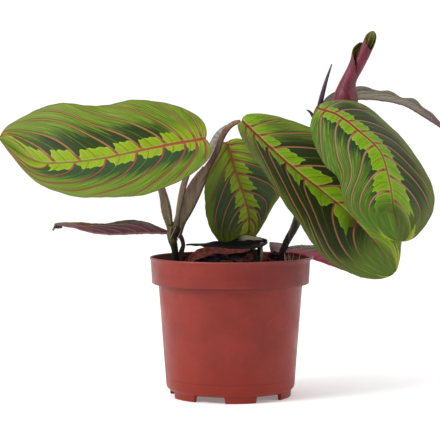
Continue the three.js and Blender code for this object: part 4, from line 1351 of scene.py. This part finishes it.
def buildCrumbs():
    # clods and chips of bark that lie half sunk in the peat
    draw = random.Random(soil["seed"])
    least, most = soil["crumbSize"]
    form = bmesh.new()
    for _ in range(soil["crumbs"]):
        away = soil["edgeRadius"] * 0.97 * math.sqrt(draw.random())
        turn = draw.uniform(0, 2 * math.pi)
        x, y = away * math.cos(turn), away * math.sin(turn)
        size = least + (most - least) * draw.random() ** 3
        shape = [draw.uniform(0.6, 1.5) for _ in range(3)]
        twist = Matrix.Rotation(draw.uniform(0, 6.28), 3, "Z")
        offset = Vector((draw.uniform(0, 50), 0, 0))
        centre = Vector((x, y, soilHeight(x, y) + 0.35 * size))
        isBark = draw.random() < soil["barkShare"]
        found = bmesh.ops.create_icosphere(form, subdivisions=2, radius=1.0)
        for vertex in found["verts"]:
            out = vertex.co * (1 + 0.45 * noise.noise(vertex.co * 1.7 + offset))
            local = Vector((out.x * shape[0], out.y * shape[1], out.z * shape[2] * 0.8)) * size
            vertex.co = (centre + twist @ local) * mm
        for face in {face for vertex in found["verts"] for face in vertex.link_faces}:
            face.material_index = int(isBark)
    crumb = peatMaterial("peatCrumb", colour(70, 44, 38), colour(24, 16, 17), 0.9)
    bark = peatMaterial("barkChip", colour(138, 82, 66), colour(70, 38, 32), 0.85)
    standFor(addForm("soilCrumbs", form, [crumb, bark]), "soil")


# the larger clods and chips that show round the fallen leaf and the stems: place, size and colour
clods = {
    "chipPale": ((-3.4, -24, 107), (2.4, 1.6, 1.5), colour(196, 124, 106)),
    "chipRed": ((13.8, -27, 104.6), (3.0, 1.6, 3.4), colour(150, 76, 78)),
    "clodBlue": ((-12, -29, 104), (6.0, 4.0, 3.0), colour(46, 38, 54)),
    "clodPurple": ((3.5, -29, 103.2), (6.0, 4.0, 3.0), colour(54, 36, 46)),
    "clodBrown": ((26.5, -14, 102.4), (2.6, 3.0, 2.6), colour(130, 60, 48)),
    "clodLow": ((8, -34, 102.2), (4.0, 3.0, 2.4), colour(96, 50, 46)),
    "clodLeft": ((-4, -36, 101.6), (5.0, 3.0, 2.2), colour(80, 40, 38)),
    "clodDark": ((-24, -24, 102.6), (4.6, 4.0, 2.6), colour(70, 38, 36)),
    "clodHeap": ((-28.5, -15, 102.8), (4.4, 4.0, 3.2), colour(124, 58, 50)),
    "clodStem": ((-34, 2, 101.6), (6.0, 4.0, 3.4), colour(96, 42, 38)),
    "clodBack": ((34, 8, 103.4), (6.0, 5.0, 3.4), colour(96, 44, 42)),
    "clodFar": ((6, 26, 104.4), (15.0, 8.0, 4.6), colour(58, 30, 30)),
}


def buildClods():
    for k, (name, (place, size, paint)) in enumerate(clods.items()):
        form = bmesh.new()
        bmesh.ops.create_icosphere(form, subdivisions=5, radius=1.0)
        for vertex in form.verts:
            out = vertex.co.normalized()
            out *= 1 + 0.34 * noise.fractal(out * 1.6 + Vector((5.0 * k, 0, 0)), 0.8, 2.1, 5)
            vertex.co = (Vector(place) + Vector([a * b for a, b in zip(out, size)])) * mm
        dark = tuple(c * 0.35 for c in paint[:3]) + (1,)
        standFor(addForm(name, form, [peatMaterial(name + "Skin", paint, dark, 0.85)]), "soil")


def fibreParts(draw, spots):
    # fibres that wander over the peat, each with its middle lifted
    parts = []
    limit = soil["edgeRadius"] - 1.5
    for x, y in spots:
        turn = draw.uniform(0, 2 * math.pi)
        z = soilHeight(x, y)
        points = []
        reach = draw.uniform(*soil["fibreLength"])
        for k in range(5):
            share = k / 4
            turn += draw.uniform(-0.7, 0.7)
            x += reach / 5 * math.cos(turn)
            y += reach / 5 * math.sin(turn)
            away = math.hypot(x, y)
            if away > limit:
                x, y = x * limit / away, y * limit / away
            lift = soil["fibreLift"] * math.sin(math.pi * min(share * 1.1, 1)) * draw.uniform(0.5, 1.2)
            radius = soil["fibreRadius"] * (1 - 0.5 * share)
            points.append((x, y, max(z, soilHeight(x, y)) + lift + 0.3, radius))
        parts.append(closedTube(tubeGrid(points, 6, 17, (0.3, 0.2, 1))))
    return parts


# pale straws that stand up at the right of the pot: x, y, the height of the tip, and the lean
straws = [(51.2, 8, 113, 2.4), (46, -5, 111.4, 1.0), (40.4, -12, 106.4, -0.2), (43, -16, 105.8, 0.8)]


def buildFibres():
    draw = random.Random(soil["seed"] + 1)
    spots = []
    for _ in range(soil["fibres"]):
        away, turn = soil["edgeRadius"] * 0.85 * math.sqrt(draw.random()), draw.uniform(0, 2 * math.pi)
        spots.append((away * math.cos(turn), away * math.sin(turn)))
    fibres = fibreParts(draw, spots)
    bark = peatMaterial("barkFibre", colour(128, 74, 60), colour(64, 36, 30), 0.85)
    standFor(addMesh("soilFibres", *gathered(fibres), [bark]), "soil")
    drawn = [(draw.uniform(38, 52), draw.uniform(-12, 14), draw.uniform(104, 108), draw.uniform(-1.5, 2.5))
             for _ in range(6)]
    parts = []
    for x, y, top, lean in straws + drawn:
        foot = soilHeight(x, y) - 1
        points = [(x + lean * k / 3 + draw.uniform(-0.3, 0.3), y + draw.uniform(-0.4, 0.4),
                   foot + (top - foot) * k / 3, soil["fibreRadius"] - 0.05 * k) for k in range(4)]
        parts.append(closedTube(tubeGrid(points, 6, 14)))
    straw = peatMaterial("straw", colour(236, 186, 160), colour(196, 140, 124), 0.7)
    standFor(addMesh("soilStraws", *gathered(parts), [straw]), "soil")


buildSoil()
buildCrumbs()
buildClods()
buildFibres()
print("peat built")


# the floor and the light

studio = {
    "floorHalf": 4.0,  # m
    "front": 0.22,     # how bright the dimmest wall is
    "walls": 0.95,     # how bright the others are
    "backdrop": 1.05,  # how bright they look to the camera itself
    "dimmest": (0.42, -0.9, 0.0),  # the way from the plant to the dimmest wall
    "floorGlow": 0.2,
    # each lamp's place, what it points at, its size in m and its power in W
    "key": ((-1.5, -0.9, 1.3), (0, 0, 0.15), 1.0, 34),
    "fill": ((1.7, -0.6, 0.7), (0, 0, 0.12), 0.8, 9),
}


def addLamp(name):
    place, target, size, power = studio[name]
    data = bpy.data.lights.new(name, "AREA")
    data.shape = "DISK"
    data.size = size
    data.energy = power
    light = bpy.data.objects.new(name, data)
    light.location = place
    light.rotation_euler = (Vector(target) - Vector(place)).to_track_quat("-Z", "Y").to_euler()
    bpy.context.collection.objects.link(light)


def addFloor():
    material, _, shader = newMaterial("studioWhite", 0.9, 0.1)
    wire(shader.inputs["Base Color"], (0.95, 0.95, 0.95, 1))
    wire(shader.inputs["Emission Color"], (1, 1, 1, 1))
    wire(shader.inputs["Emission Strength"], studio["floorGlow"])
    half = studio["floorHalf"] / mm
    corners = [(-half, -half, 0), (half, -half, 0), (half, half, 0), (-half, half, 0)]
    addMesh("floor", corners, [(0, 1, 2, 3)], [material])


def addWorld():
    # white all round, but dim behind the camera, as in a room lit from its sides
    world = bpy.data.worlds.new("studioWorld")
    world.use_nodes = True
    towards = vectorCalc("DOT_PRODUCT", coordinate(world.node_tree, "Generated"), studio["dimmest"])
    walls = between(towards, 0.15, 0.9, studio["walls"], studio["front"])
    seen = Field(addNode("LightPath", {}, world.node_tree).outputs["Is Camera Ray"])
    background = world.node_tree.nodes["Background"].inputs
    wire(background["Color"], (1, 1, 1, 1))
    wire(background["Strength"], mixedValue(seen, walls, studio["backdrop"]))
    bpy.context.scene.world = world
    bpy.context.scene.view_settings.view_transform = "Standard"


addFloor()
addWorld()
addLamp("key")
addLamp("fill")
print("studio ready")
